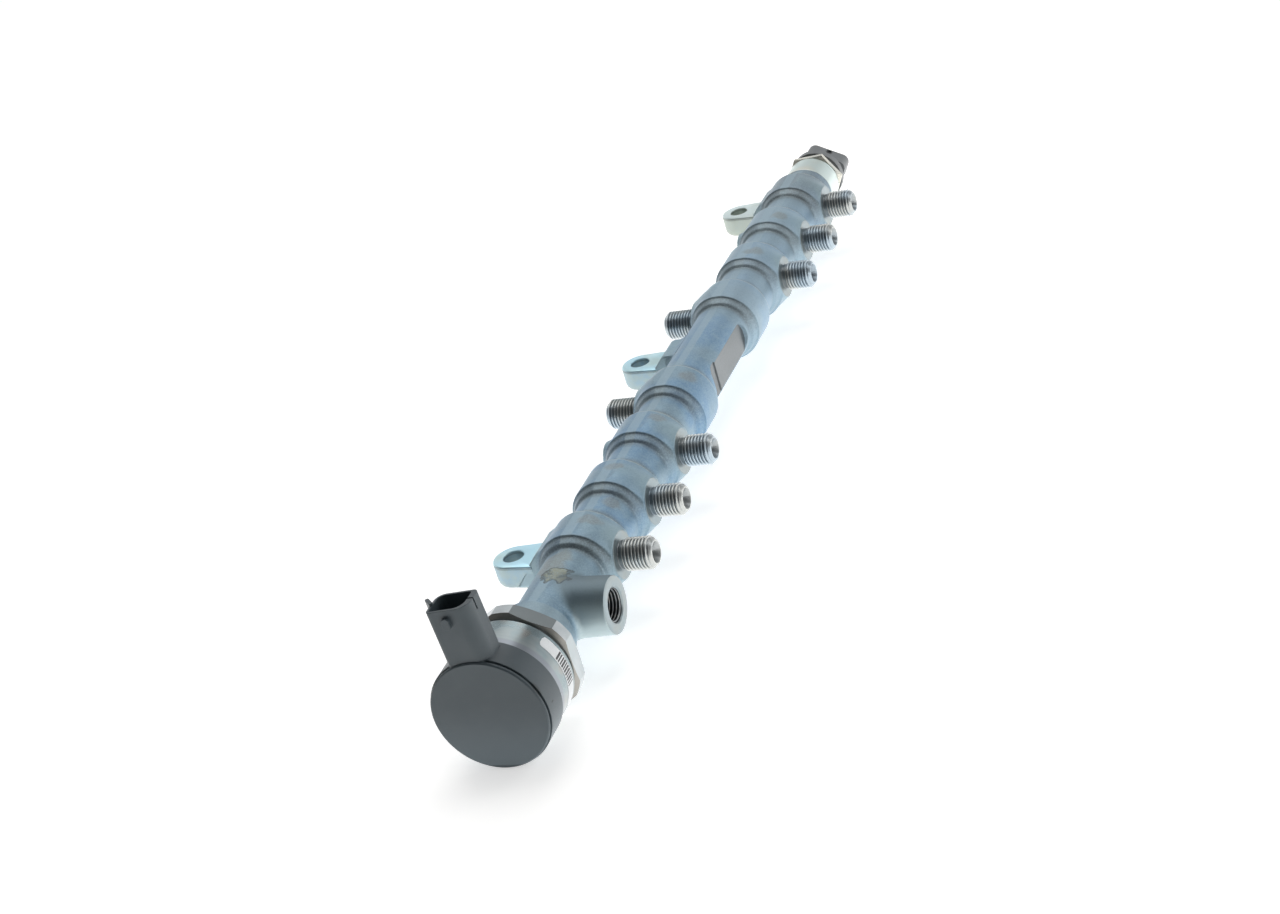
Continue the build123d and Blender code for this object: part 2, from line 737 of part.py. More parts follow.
with BuildPart() as sensor_body:
    nose_back = sensor_tip + contact_gap
    turn([(nose_back, 0), (nose_back, sensor_nose_radius - 1), (nose_back + sensor_nose_length, sensor_nose_radius),
          (nose_back + sensor_nose_length + 1.2, sensor_thread_radius - thread_clearance),
          (sensor_hex_back + 1, sensor_thread_radius - thread_clearance), (sensor_hex_back + 1, 0)])
    add(sensor_hexagon.part)
    bar(sensor_hex_front - 1, shell_front, sensor_shell_radius)
    bar(nose_back, room_back - diaphragm_thickness, pressure_bore_radius, Mode.SUBTRACT)
    bar(room_back, board_back, sensor_ledge_radius, Mode.SUBTRACT)
    bar(board_back, shell_front, sensor_room_radius, Mode.SUBTRACT)
sensor_body.part.label = "sensor_body"

with BuildPart() as sensor_element:
    bar(room_back, room_back + element_thickness, element_radius)
sensor_element.part.label = "sensor_element"

with BuildPart() as sensor_circuit_board:
    bar(board_back, board_back + board_thickness, sensor_room_radius - slip_clearance)
sensor_circuit_board.part.label = "sensor_circuit_board"


def up_the_plug(station):
    """A plane across the sensor's connector that faces outwards, turned with its long side."""
    lean = radians(plug_angle)
    centre = (bolt_line_to_axis, station, seat_to_axis)
    return Plane(origin=centre, x_dir=(cos(lean), 0, sin(lean)), z_dir=(0, 1, 0))


# Contact pins of the sensor
board_front = board_back + board_thickness
with BuildPart() as sensor_contact_pins:
    with BuildSketch(up_the_plug(board_front)):
        with GridLocations(sensor_pin_pitch, 1, 3, 1):
            Rectangle(sensor_pin_size, sensor_pin_size)
    extrude(amount=plug_front - sensor_pin_below_mouth - board_front)
sensor_contact_pins.part.label = "sensor_contact_pins"

# Sealing ring between the sensor's shell and its connector
seal_station = shell_front - plug_spigot_length / 2
with BuildPart() as sensor_seal_ring:
    with BuildSketch(half_rail):
        with Locations((seal_station, sensor_room_radius - seal_wire_radius)):
            Circle(seal_wire_radius)
    revolve(axis=rail_axis)
sensor_seal_ring.part.label = "sensor_seal_ring"

# Plastic connector of the sensor
with BuildPart() as sensor_connector:
    bar(shell_front - plug_spigot_length, shell_front + 1, sensor_room_radius - slip_clearance)
    tube(seal_station - seal_wire_radius, seal_station + seal_wire_radius,
         sensor_room_radius - 2 * seal_wire_radius, sensor_room_radius, Mode.SUBTRACT)
    bar(shell_front + contact_gap, ring_front, plug_ring_radius)
    with BuildSketch(up_the_plug(ring_front)):
        RectangleRounded(plug_neck_width, plug_height, plug_corner)
    extrude(amount=plug_neck_length)
    with BuildSketch(up_the_plug(ring_front + plug_neck_length)):
        with Locations((plug_shift, 0)):
            RectangleRounded(plug_width, plug_height, plug_corner)
    extrude(amount=plug_length - plug_neck_length)
    with BuildSketch(up_the_plug(plug_front)):
        with Locations((plug_shift, 0)):
            RectangleRounded(plug_width - 2 * plug_wall, plug_height - 2 * plug_wall, plug_corner - plug_wall)
    extrude(amount=-plug_pocket_depth, mode=Mode.SUBTRACT)
    with BuildSketch(up_the_plug(plug_front - plug_recess_to_mouth)):
        with Locations((0, -plug_height / 2)):
            Rectangle(plug_recess_width, 2 * plug_recess_depth)
    extrude(amount=-plug_recess_length, mode=Mode.SUBTRACT)
    add(sensor_contact_pins.part, mode=Mode.SUBTRACT)
sensor_connector.part.label = "sensor_connector"

os.makedirs("parts", exist_ok=True)
export_step(rail_body.part, "parts/rail_body.step")
export_step(valve_housing.part, "parts/valve_housing.step")
export_step(nose_strainer.part, "parts/nose_strainer.step")
export_step(valve_seat.part, "parts/valve_seat.step")
export_step(valve_ball.part, "parts/valve_ball.step")
export_step(valve_pin.part, "parts/valve_pin.step")
export_step(armature.part, "parts/armature.step")
export_step(valve_spring.part, "parts/valve_spring.step")
export_step(spring_shim.part, "parts/spring_shim.step")
export_step(armature_cover.part, "parts/armature_cover.step")
export_step(coil_bobbin.part, "parts/coil_bobbin.step")
export_step(coil_winding.part, "parts/coil_winding.step")
export_step(magnet_can.part, "parts/magnet_can.step")
export_step(nose_o_ring.part, "parts/nose_o_ring.step")
export_step(backup_ring.part, "parts/backup_ring.step")
export_step(can_o_ring.part, "parts/can_o_ring.step")
export_step(valve_contact_pins.part, "parts/valve_contact_pins.step")
export_step(end_cap.part, "parts/end_cap.step")
export_step(sensor_body.part, "parts/sensor_body.step")
export_step(sensor_element.part, "parts/sensor_element.step")
export_step(sensor_circuit_board.part, "parts/sensor_circuit_board.step")
export_step(sensor_contact_pins.part, "parts/sensor_contact_pins.step")
export_step(sensor_seal_ring.part, "parts/sensor_seal_ring.step")
export_step(sensor_connector.part, "parts/sensor_connector.step")
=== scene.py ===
"""Looks of the common rail: forged zinc-plated skin, machined stubs with real threads, plastics and label."""
import math

import bmesh
import bpy
import numpy as np
from mathutils import Matrix, Vector


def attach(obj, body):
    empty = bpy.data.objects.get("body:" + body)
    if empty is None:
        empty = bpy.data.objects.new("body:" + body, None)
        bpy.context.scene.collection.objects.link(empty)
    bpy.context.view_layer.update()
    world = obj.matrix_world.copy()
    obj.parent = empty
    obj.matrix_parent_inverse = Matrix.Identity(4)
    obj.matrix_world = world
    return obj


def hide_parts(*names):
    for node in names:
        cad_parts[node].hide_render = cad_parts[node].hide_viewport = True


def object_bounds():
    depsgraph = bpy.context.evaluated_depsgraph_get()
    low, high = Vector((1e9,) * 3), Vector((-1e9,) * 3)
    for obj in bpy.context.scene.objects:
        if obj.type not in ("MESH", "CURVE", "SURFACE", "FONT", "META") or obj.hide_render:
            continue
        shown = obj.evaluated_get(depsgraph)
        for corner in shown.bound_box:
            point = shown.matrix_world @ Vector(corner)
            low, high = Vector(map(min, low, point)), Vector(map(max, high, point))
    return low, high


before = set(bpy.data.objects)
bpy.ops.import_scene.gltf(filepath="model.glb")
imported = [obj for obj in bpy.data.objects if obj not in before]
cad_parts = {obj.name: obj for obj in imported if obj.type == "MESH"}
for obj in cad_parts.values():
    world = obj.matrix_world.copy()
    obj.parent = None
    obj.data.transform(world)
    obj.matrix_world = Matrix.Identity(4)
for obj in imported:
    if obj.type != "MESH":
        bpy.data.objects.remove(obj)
cad_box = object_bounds()

# Sizes in millimetres, pairs as from and to. Places are counted from the rail axis: x towards the injector stubs,
# z up, y along the rail.
axis_x = 31.9
axis_z = 7.7
inner_station = 45.3
stub_pitch = 43.0
stations = sorted(side * (inner_station + step * stub_pitch) for side in (-1, 1) for step in range(4))
pump_stations = (-inner_station, inner_station)
pad_stations = (-inner_station - stub_pitch, inner_station + 2 * stub_pitch)
lug_stations = (stations[0], 0.0, stations[-1])
neck_radius = 13.7
near_neck_radius = 13.3
bulge_radius = 17.0
bulge_front = 10.0
bulge_back = 9.0
shoulder_lip = 16.1
shoulder_knee = 15.0
near_end = -247.0
far_end = 210.4
near_collar_back = -232.0
far_collar_front = 194.8
near_collar_radius = 15.8
far_collar_radius = 14.0
collar_chamfer = 0.8
stub_face = 16.7
stub_face_radius = 10.05
stub_crest = 6.9
stub_root = 5.98
stub_undercut = 5.9
stub_undercut_width = 1.5
stub_tip_radius = 5.1
stub_tip_chamfer = 2.2
cone_mouth = 4.5
stub_bore = 1.5
thread_pitch = 1.5
injector_reach = 31.4
pump_reach = 32.7
boss_station = -213.3
boss_reach = 26.5
boss_face_radius = 11.75
boss_root_radius = 12.7
boss_mouth = 7.5
boss_thread_major = 7.0
boss_thread_minor = 6.25
boss_thread_depth = 12.5
lug_line = -axis_x
lug_top = 3.3
lug_bottom = -axis_z
lug_nose = 9.0
lug_root_half = 9.8
lug_hole = 4.5
web_half = 9.2
flat_level = 11.8
flat_start = -27.5
flat_stop = 26.6
flat_cutter = 7.6
flat_step = 0.5
flat_step_length = 10.5
land_turn = math.radians(91.5)
land_cut = 0.14

# How far the parts of the forging reach, how softly they join, and where the finer patches take over from the skin
skin_inset = 0.09
patch_sink = 0.3
spot_reach = 14.0
spot_drop = 0.04
spot_hollow = 11.3
spot_hollow_depth = 0.45
flare_draft_along = 0.12
flare_draft_round = 0.52
flare_blend = 3.4
lug_blend = 2.4
pad_blend = 1.6
pad_reach = 18.7
pad_radius = 7.5
growth_window = 21.0
boss_window = 24.0
pad_window = 14.0
flat_window = 30.0
boss_foot = -2.0
boss_hollow = (12.8, 16.0, 10.5)
patch_fade = (2.6, 4.2)
lug_patch_fade = (1.8, 3.4)
patch_foot = (2.2, 4.0)
roof_lines = ((-21.9, lug_top, 3.1, 3.0, 4.31), (-18.9, 6.4, 2.0, 1.6, 2.56), (-17.3, 8.4, 0.8, 2.1, 2.25))
web_crown = 9.2
web_sole = -6.0

# Spacing of samples and rows, and the ranges in which rays are searched
profile_step = 0.05
row_step = 0.02
plain_spacing = 1.0
shoulder_spacing = 0.42
rim_spacing = 0.17
flat_spacing = 0.22
collar_spacing = 0.2
skin_range = (10.5, 26.0)
ray_range = (3.0, 32.0)
outline_range = (4.0, 16.0)

# The sealing cone, the label (its ends as angles round the can) and the bore
stub_bore_depth = 9.5
cone_half_angle = math.radians(30.0)
can_radius = 23.4
label_ends = np.radians((43.5, -44.0))
label_front = -264.5
label_back = -258.9
label_corner = 1.6
piece_joint = inner_station + stub_pitch / 2 - 0.5
bore_table = ((near_end, 11.0), (-227.0, 11.0), (-226.9, 9.6), (-206.0, 9.6), (-205.9, 5.0),
              (196.0, 5.0), (196.1, 9.0), (far_end, 9.0))


# Meshes from grids

def grid_quads(rows, columns, round_rows):
    """Quads over a grid of vertices, facing the cross product of the row and the column direction. The last column
    joins the first, and the last row too where the rows are round."""
    r, c = np.meshgrid(np.arange(rows if round_rows else rows - 1), np.arange(columns), indexing="ij")
    r1, c1 = (r + 1) % rows, (c + 1) % columns
    return np.stack([r * columns + c, r1 * columns + c, r1 * columns + c1, r * columns + c1], -1).reshape(-1, 4)


def grid_object(name, points, round_rows=False, sharp=32.0, flip=False, weld=False, zones=None, soft=None,
                normals=None, **attributes):
    """An object from a grid of points in millimetres about the rail axis, its columns closed round. Edges sharper
    than the angle stay crisp, but for the soft slice of rows. Zones give each row its material number, normals the
    true normals of the last rows (zero where it isn't known), attributes a value to each vertex."""
    rows, columns = points.shape[:2]
    quads = grid_quads(rows, columns, round_rows)
    if flip:
        quads = quads[:, ::-1]
    mesh = bpy.data.meshes.new(name)
    place = (points.reshape(-1, 3) + (axis_x, 0.0, axis_z)) * 0.001
    mesh.vertices.add(len(place))
    mesh.vertices.foreach_set("co", place.ravel())
    mesh.loops.add(quads.size)
    mesh.loops.foreach_set("vertex_index", quads.astype(np.int32).ravel())
    mesh.polygons.add(len(quads))
    mesh.polygons.foreach_set("loop_start", np.arange(0, quads.size, 4, dtype=np.int32))
    mesh.polygons.foreach_set("loop_total", np.full(len(quads), 4, np.int32))
    mesh.update(calc_edges=True)
    mesh.polygons.foreach_set("use_smooth", np.ones(len(quads), bool))
    if zones is not None:
        zones = np.asarray(zones, np.int32)[:len(quads) // columns]
        mesh.polygons.foreach_set("material_index", np.repeat(zones, columns))
    if soft is not None:
        attributes["soft"] = np.zeros((rows, columns))
        attributes["soft"][soft] = 1.0
    for key, values in attributes.items():
        layer = mesh.attributes.new(key, "FLOAT", "POINT")
        layer.data.foreach_set("value", np.asarray(values, np.float32).ravel())
    if normals is not None:
        layer = mesh.attributes.new("true_normal", "FLOAT_VECTOR", "POINT")
        before = np.zeros((rows - len(normals), columns, 3))
        layer.data.foreach_set("vector", np.concatenate([before, normals]).astype(np.float32).ravel())
    if weld:
        work = bmesh.new()
        work.from_mesh(mesh)
        bmesh.ops.remove_doubles(work, verts=work.verts, dist=1e-7)
        work.to_mesh(mesh)
        work.free()
    mesh.set_sharp_from_angle(angle=math.radians(sharp))
    if soft is not None:
        keep_soft(mesh)
    if normals is not None:
        lay_normals(mesh)
    made = bpy.data.objects.new(name, mesh)
    bpy.context.scene.collection.objects.link(made)
    return made


def read_all(items, key, kind, width=1):
    """One property of every item, as an array."""
    values = np.empty(len(items) * width, kind)
    items.foreach_get(key, values)
    return values


def keep_soft(mesh):
    """Takes the crisp mark off the edges whose two ends are both marked soft."""
    values = read_all(mesh.attributes["soft"].data, "value", np.float32)
    ends = read_all(mesh.edges, "vertices", np.int32, 2).reshape(-1, 2)
    crisp = read_all(mesh.edges, "use_edge_sharp", bool) & ~(values[ends] > 0.5).all(1)
    mesh.edges.foreach_set("use_edge_sharp", crisp)
    mesh.attributes.remove(mesh.attributes["soft"])


def lay_normals(mesh):
    """Lays the true normals on the faces that know them at every corner."""
    values = read_all(mesh.attributes["true_normal"].data, "vector", np.float32, 3)
    lying = values.reshape(-1, 3)[read_all(mesh.loops, "vertex_index", np.int32)]
    known = np.abs(lying).sum(1) > 0.5
    starts = read_all(mesh.polygons, "loop_start", np.int32)
    totals = read_all(mesh.polygons, "loop_total", np.int32)
    whole = np.repeat(np.add.reduceat(known.astype(int), starts) == totals, totals)
    lying[~whole] = 0.0
    mesh.attributes.remove(mesh.attributes["true_normal"])
    mesh.normals_split_custom_set(lying)


def fit_to_rail(piece, *materials, finish="forged_steel"):
    """Gives the piece its materials and lets it ride on the rail; the finish is not used."""
    for material in materials:
        piece.data.materials.append(material)
    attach(piece, "rail")
    return piece


# The forged body as one distance, from which the skin and everything that grows out of it are taken

def ease(value, low, high):
    """0 below low, 1 above high, and a smooth step between them: t t (3 - 2 t)."""
    t = np.clip((value - low) / (high - low), 0.0, 1.0)
    return t * t * (3.0 - 2.0 * t)


def soft_min(a, b, width):
    """The lower of two distances, rounded over a width: b + (a - b) h - width h (1 - h)."""
    h = np.clip(0.5 + 0.5 * (b - a) / width, 0.0, 1.0)
    return b + (a - b) * h - width * h * (1.0 - h)


def soft_max(a, b, width):
    """The higher of two distances, rounded over a width."""
    return -soft_min(-a, -b, width)


def leaving(inside, shape, limits, halvings):
    """Length at which each ray of a grid leaves a body: the range between a length inside it and one outside is
    halved again and again, for the whole grid at once."""
    low, high = (np.full(shape, limit) for limit in limits)
    for _ in range(halvings):
        middle = (low + high) / 2
        within = inside(middle)
        low, high = np.where(within, middle, low), np.where(within, high, middle)
    return (low + high) / 2


def body_profile():
    """Radius of the turned outline along the rail: a line through the collars, necks and bulges, its corners rounded
    by a moving average, short at the rims and longer on the steps."""
    points = [(near_end, near_collar_radius - collar_chamfer), (near_end + collar_chamfer, near_collar_radius),
              (near_collar_back, near_collar_radius), (near_collar_back + 1.0, near_neck_radius)]
    for s in stations:
        front, back = s - bulge_front, s + bulge_back
        points += [(front - 4.5, near_neck_radius if s == stations[0] else neck_radius),
                   (front - 3.6, shoulder_knee), (front - 0.5, shoulder_lip), (front, bulge_radius),
                   (back, bulge_radius), (back + 0.3, shoulder_lip), (back + 3.6, shoulder_knee),
                   (back + 4.5, neck_radius)]
    points += [(far_collar_front - 0.3, neck_radius), (far_collar_front, far_collar_radius),
               (far_end - collar_chamfer, far_collar_radius), (far_end, far_collar_radius - collar_chamfer)]
    y = np.arange(near_end, far_end + profile_step / 2, profile_step)
    sharp = np.interp(y, *np.array(points).T)

    def smoothed(half):
        """The radii after an average weighted with a bell of a half width in steps."""
        bell = np.hanning(2 * half + 1)
        return np.convolve(np.pad(sharp, half, mode="edge"), bell / bell.sum(), mode="valid")

    crisp, soft = smoothed(7), smoothed(19)
    stepping = np.zeros_like(y)
    for s in stations:
        for beyond in (s - bulge_front - y, y - s - bulge_back):
            stepping = np.maximum(stepping, ease(beyond, 0.1, 0.9) * ease(beyond, 6.5, 6.0))
    return y, crisp + (soft - crisp) * stepping


profile_y, profile_r = body_profile()


def stub_side(s):
    """+1 for a station whose stub points to the injectors, -1 for a pump station."""
    return -1.0 if s in pump_stations else 1.0


def flare_distance(a, y, z):
    """Distance to a stub's flare: an oval cone about the stub axis, wider round the rail than along it."""
    half_y = stub_face_radius + flare_draft_along * (stub_face - a)
    half_z = stub_face_radius + flare_draft_round * (stub_face - a)
    e = np.sqrt((y / half_y) ** 2 + (z / half_z) ** 2)
    return np.maximum((e - 1.0) * np.minimum(half_y, half_z), np.maximum(5.0 - a, a - stub_face - 3.0))


def lug_root_distance(x, y, z):
    """Distance to a lug's root: the web under a roof of three slopes (each a point, its fall and run, and their
    length), and the slab that runs into the lug."""
    slopes = [((foot_x - x) * fall + (z - foot_z) * run) / length for foot_x, foot_z, fall, run, length in roof_lines]
    roof = np.maximum.reduce(slopes + [z - web_crown, web_sole - z, x + 4.0])
    web = soft_max(roof, np.abs(y) - web_half + 0.1 * (web_sole + z), 1.0)
    slab = soft_max(np.abs(y) - lug_root_half + 0.12, np.abs(z + 2.2) - 5.4, 3.0)
    return np.minimum(web, np.maximum(slab, -x - 23.5))


def flat_outline(y, z):
    """Distance to the milled flat's outline in plan: a slot with the cutter's round ends."""
    middle, reach = (flat_start + flat_stop) / 2, (flat_stop - flat_start) / 2 - flat_cutter
    return np.hypot(np.maximum(np.abs(y - middle) - reach, 0.0), z) - flat_cutter


def is_forged(y):
    """Whether a place lies between the two turned collars."""
    return (y > near_collar_back + 2) & (y < far_collar_front - 1)


def land_distance(x, z, body):
    """Distance to the two parting lands, which cut a little off the round body's sides."""
    return np.abs(x * math.cos(land_turn) + z * math.sin(land_turn)) - (body - land_cut)


def forging(x, y, z):
    """Distance to the forging, and how far a finer patch covers it there, from 0 to 1: round body, flares, lug roots,
    pads and the return boss in soft unions, then levelled round the spot faces, and the parting lands and the
    milled flat cut away."""
    body_radius = np.interp(y, profile_y, profile_r)
    d = np.hypot(x, z) - body_radius
    cover = np.zeros_like(d)

    def join(near, other, width, patched):
        """Joins another distance to the body where it is near, and notes how far a patch covers it."""
        d[near] = soft_min(d[near], other, width)
        cover[near] = np.maximum(cover[near], patched)

    for s in stations:
        a = stub_side(s) * x
        near = (np.abs(y - s) < growth_window) & (a > 0)
        if near.any():
            flare = flare_distance(a[near], y[near] - s, z[near])
            join(near, flare, flare_blend, (1 - ease(flare, *patch_fade)) * ease(a[near], *patch_foot))
    for s in lug_stations:
        near = (np.abs(y - s) < growth_window) & (x < 0)
        if near.any():
            root = lug_root_distance(x[near], y[near] - s, z[near])
            join(near, root, lug_blend, 1 - ease(root, *lug_patch_fade))
    for s in pad_stations:
        near = (np.abs(y - s) < pad_window) & (x < 0)
        if near.any():
            rho = np.hypot(y[near] - s, z[near])
            pad = soft_max(-x[near] - pad_reach, rho - pad_radius - 0.25 * (pad_reach + x[near]), 0.8)
            join(near, pad, pad_blend, 0.0)
    near = (np.abs(y - boss_station) < boss_window) & (x > boss_foot)
    if near.any():
        rho = np.hypot(y[near] - boss_station, z[near])
        slope = (boss_root_radius - boss_face_radius) / boss_reach
        boss = np.maximum(rho - boss_root_radius + slope * x[near], boss_foot - x[near])
        join(near, boss, flare_blend, (1 - ease(boss, *patch_fade)) * ease(x[near], *patch_foot))
    for s in stations:
        a = stub_side(s) * x
        near = (np.hypot(y - s, z) < spot_reach) & (a > 12)
        d[near] = soft_max(d[near], a[near] - stub_face + spot_drop, 0.4)
    d = np.where(is_forged(y), np.maximum(d, land_distance(x, z, body_radius)), d)
    flat = (np.abs(y) < flat_window) & (x > 5)
    if flat.any():
        slot = flat_outline(y[flat], z[flat])
        deep = np.maximum(slot, y[flat] - flat_start - flat_step_length)
        d[flat] = np.maximum(d[flat], np.minimum(x[flat] - flat_level, -slot))
        d[flat] = np.maximum(d[flat], np.minimum(x[flat] - flat_level + flat_step, -deep))
    return d, cover


def forged_normals(points):
    """Direction in which the forging's distance grows, from differences over 0.03 mm either way."""
    step = 0.03
    slopes = []
    for axis in range(3):
        aside = step * np.eye(3)[axis]
        ahead, behind = (forging(*np.moveaxis(points + way * aside, -1, 0))[0] for way in (1, -1))
        slopes.append(ahead - behind)
    slopes = np.stack(slopes, -1)
    return slopes / np.maximum(np.linalg.norm(slopes, axis=-1, keepdims=True), 1e-9)


# Share of painted shade across a step, by the distance beyond the bulge's edge
shoulder_shade_tones = ((-0.4, 0.4, 1.3, 2.2, 3.0, 4.0, 5.1, 7.6), (0.0, 0.85, 0.85, 0.68, 0.72, 0.9, 0.75, 0.0))


def forged_marks(points):
    """Values that tint the forging: rise (stands off the round body), land (parting flat), shoulder shade (painted
    shade at the foot and lip of the steps) and rim highlight (painted highlight along the rear edge of a bulge)."""
    x, y, z = np.moveaxis(points, -1, 0)
    radius = np.hypot(x, z)
    body = np.interp(y, profile_y, profile_r)
    outside = ease(radius, 11.5, 12.0)
    rise = np.clip((radius - body) / 1.6, 0.0, 1.0)
    off_land = ease(radius - body, 0.02, 0.2)
    land = ease(land_distance(x, z, body), -0.04, -0.008) * is_forged(y) * outside * (1 - off_land)
    shoulder_shade, rim_highlight = np.zeros_like(x), np.zeros_like(x)
    for s in stations:
        gap = np.maximum(s - bulge_front - y, y - s - bulge_back)
        # Painted shade: a dark band at the foot and lip of each step
        tone = np.interp(gap, *shoulder_shade_tones)
        shoulder_shade = np.maximum(shoulder_shade, tone)
        # Painted highlight: a thin pale line along the rear edge of each bulge
        rim_highlight = np.maximum(rim_highlight, np.exp(-((y - s - bulge_back + 0.12) / 0.3) ** 2))
    shoulder_shade = shoulder_shade * outside * (1 - rise)
    rim_highlight = rim_highlight * ease(radius, bulge_radius - 0.8, bulge_radius - 0.3) * (1 - rise)
    return {"rise": rise * outside, "land": land, "shoulder_shade": shoulder_shade, "rim_highlight": rim_highlight}


def hollows(x, y, z, d):
    """The forging's distance with room for the stubs' spot faces and the boss's hollow cut away."""
    for s in stations:
        a = stub_side(s) * x
        near = (np.abs(y - s) < 12) & (a > 12)
        rho = np.hypot(y[near] - s, z[near])
        d[near] = np.maximum(d[near], np.minimum(a[near] - stub_face + spot_hollow_depth, spot_hollow - rho))
    near = (np.abs(y - boss_station) < boss_window) & (x > 8)
    rho = np.hypot(y[near] - boss_station, z[near])
    foot, top, radius = boss_hollow
    d[near] = np.maximum(d[near], np.maximum(np.minimum(x[near] - foot, radius - rho), x[near] - top))
    return d


def skin_rows(start, stop):
    """Stations of the skin's rows: their spacing shrinks at the bulges' rims and shoulders and at the flat's ends."""
    y = np.arange(start, stop, row_step)
    step = np.full(y.shape, plain_spacing)
    for s in stations:
        for beyond in (s - bulge_front - y, y - s - bulge_back):
            step = np.where((beyond > -0.6) & (beyond < 5.2), np.minimum(step, shoulder_spacing), step)
            step = np.where(np.abs(beyond) < 0.75, rim_spacing, step)
    ends = ((y > flat_start - 0.8) & (y < flat_start + flat_cutter)) | \
           ((y < flat_stop + 0.8) & (y > flat_stop - flat_cutter)) | \
           (np.abs(y - flat_start - flat_step_length) < 0.6)
    step = np.where(ends, flat_spacing, step)
    for edge in (near_end, near_collar_back, far_collar_front, far_end):
        step = np.where(np.abs(y - edge) < 1.6, collar_spacing, step)
    count = np.cumsum(row_step / step)
    total = int(math.ceil(count[-1]))
    return np.interp(np.linspace(0, count[-1], total + 1), np.concatenate([[0], count[:-1]]), y)


def skin(name, start, stop):
    """One length of the forging as a closed shell. Outside, each vertex lies where its ray from the rail axis leaves
    the forging, a little lower where a finer patch covers it. Inside runs the stepped bore."""
    y = skin_rows(start, stop)
    y[0], y[-1] = start, stop
    yy, aa = np.meshgrid(y, full_turn(240), indexing="ij")
    cos, sin = np.cos(aa), np.sin(aa)

    def inside(radius):
        """Whether a radius lies inside the lowered forging."""
        x, z = radius * cos, radius * sin
        d, cover = forging(x, yy, z)
        return hollows(x, yy, z, d + skin_inset * cover) < 0

    outer = leaving(inside, yy.shape, skin_range, 16)
    lying = forged_normals(np.stack([outer * cos, yy, outer * sin], -1))
    bore_y = np.array([stop] + [p for p, _ in bore_table[::-1] if start < p < stop] + [start])
    bore_r = np.interp(bore_y, *np.array(bore_table).T)
    bore_y, bore_r = (np.repeat(values[:, None], yy.shape[1], 1) for values in (bore_y, bore_r))
    radius, along = np.concatenate([outer, bore_r]), np.concatenate([yy, bore_y])
    turn = np.concatenate([aa, np.repeat(aa[:1], len(bore_y), 0)])
    points = np.stack([radius * np.cos(turn), along, radius * np.sin(turn)], -1)
    normals = np.concatenate([lying, np.zeros((*bore_y.shape, 3))])
    return grid_object(name, points, round_rows=True, sharp=34.0, normals=normals, **forged_marks(points))


def ray_rows(centre, side, polar, turn):
    """Rows of points where rays from a centre on the growth's axis leave the forging: polar is the angle from that
    axis, turn the angle round it. Away from the growth the rows sink under the skin."""
    ux, uy, uz = side * np.cos(polar), np.sin(polar) * np.cos(turn), np.sin(polar) * np.sin(turn)

    def inside(length):
        """Whether a length along the rays lies inside the forging, lowered away from the growth."""
        d, cover = forging(centre[0] + length * ux, centre[1] + length * uy, centre[2] + length * uz)
        return d + patch_sink * (1.0 - cover) < 0

    length = leaving(inside, polar.shape, ray_range, 18)
    return np.stack([centre[0] + length * ux, centre[1] + length * uy, centre[2] + length * uz], -1)


def growth(centre, side, polar, turn):
    """The forged rows of a growth, a row of equal points that closes its shell at the centre, and their normals."""
    rows = ray_rows(centre, side, polar, np.repeat(turn[None], len(polar), 0))
    hub = np.repeat(np.array([[centre]]), len(turn), 1)
    return np.concatenate([rows, hub]), np.concatenate([forged_normals(rows), np.zeros_like(hub)])


def full_turn(fine):
    return np.linspace(0.0, 2 * math.pi, fine, endpoint=False)


def turned_rows(side, station, profile, turn):
    """Rows of a profile (distance from the rail axis, radius) carried round a stub's axis."""
    a, rho = np.asarray(profile, float).T
    a, t = np.meshgrid(a, turn, indexing="ij")
    rho = np.repeat(rho[:, None], len(turn), 1)
    return np.stack([side * a, station + rho * np.cos(t), rho * np.sin(t)], -1)


def thread_rows(start, stop, crest, root, turn, rows_per_pitch=14):
    """Rows of a helical thread from start to stop: the radius is a rounded wave of the distance along the axis less
    a pitch for each turn."""
    count = int(abs(stop - start) / thread_pitch * rows_per_pitch)
    a, t = np.meshgrid(np.linspace(start, stop, count), turn, indexing="ij")
    phase = (a / thread_pitch - t / (2 * math.pi)) % 1.0
    return a, t, root + (crest - root) * ease(np.abs(phase - 0.5), 0.10, 0.40)


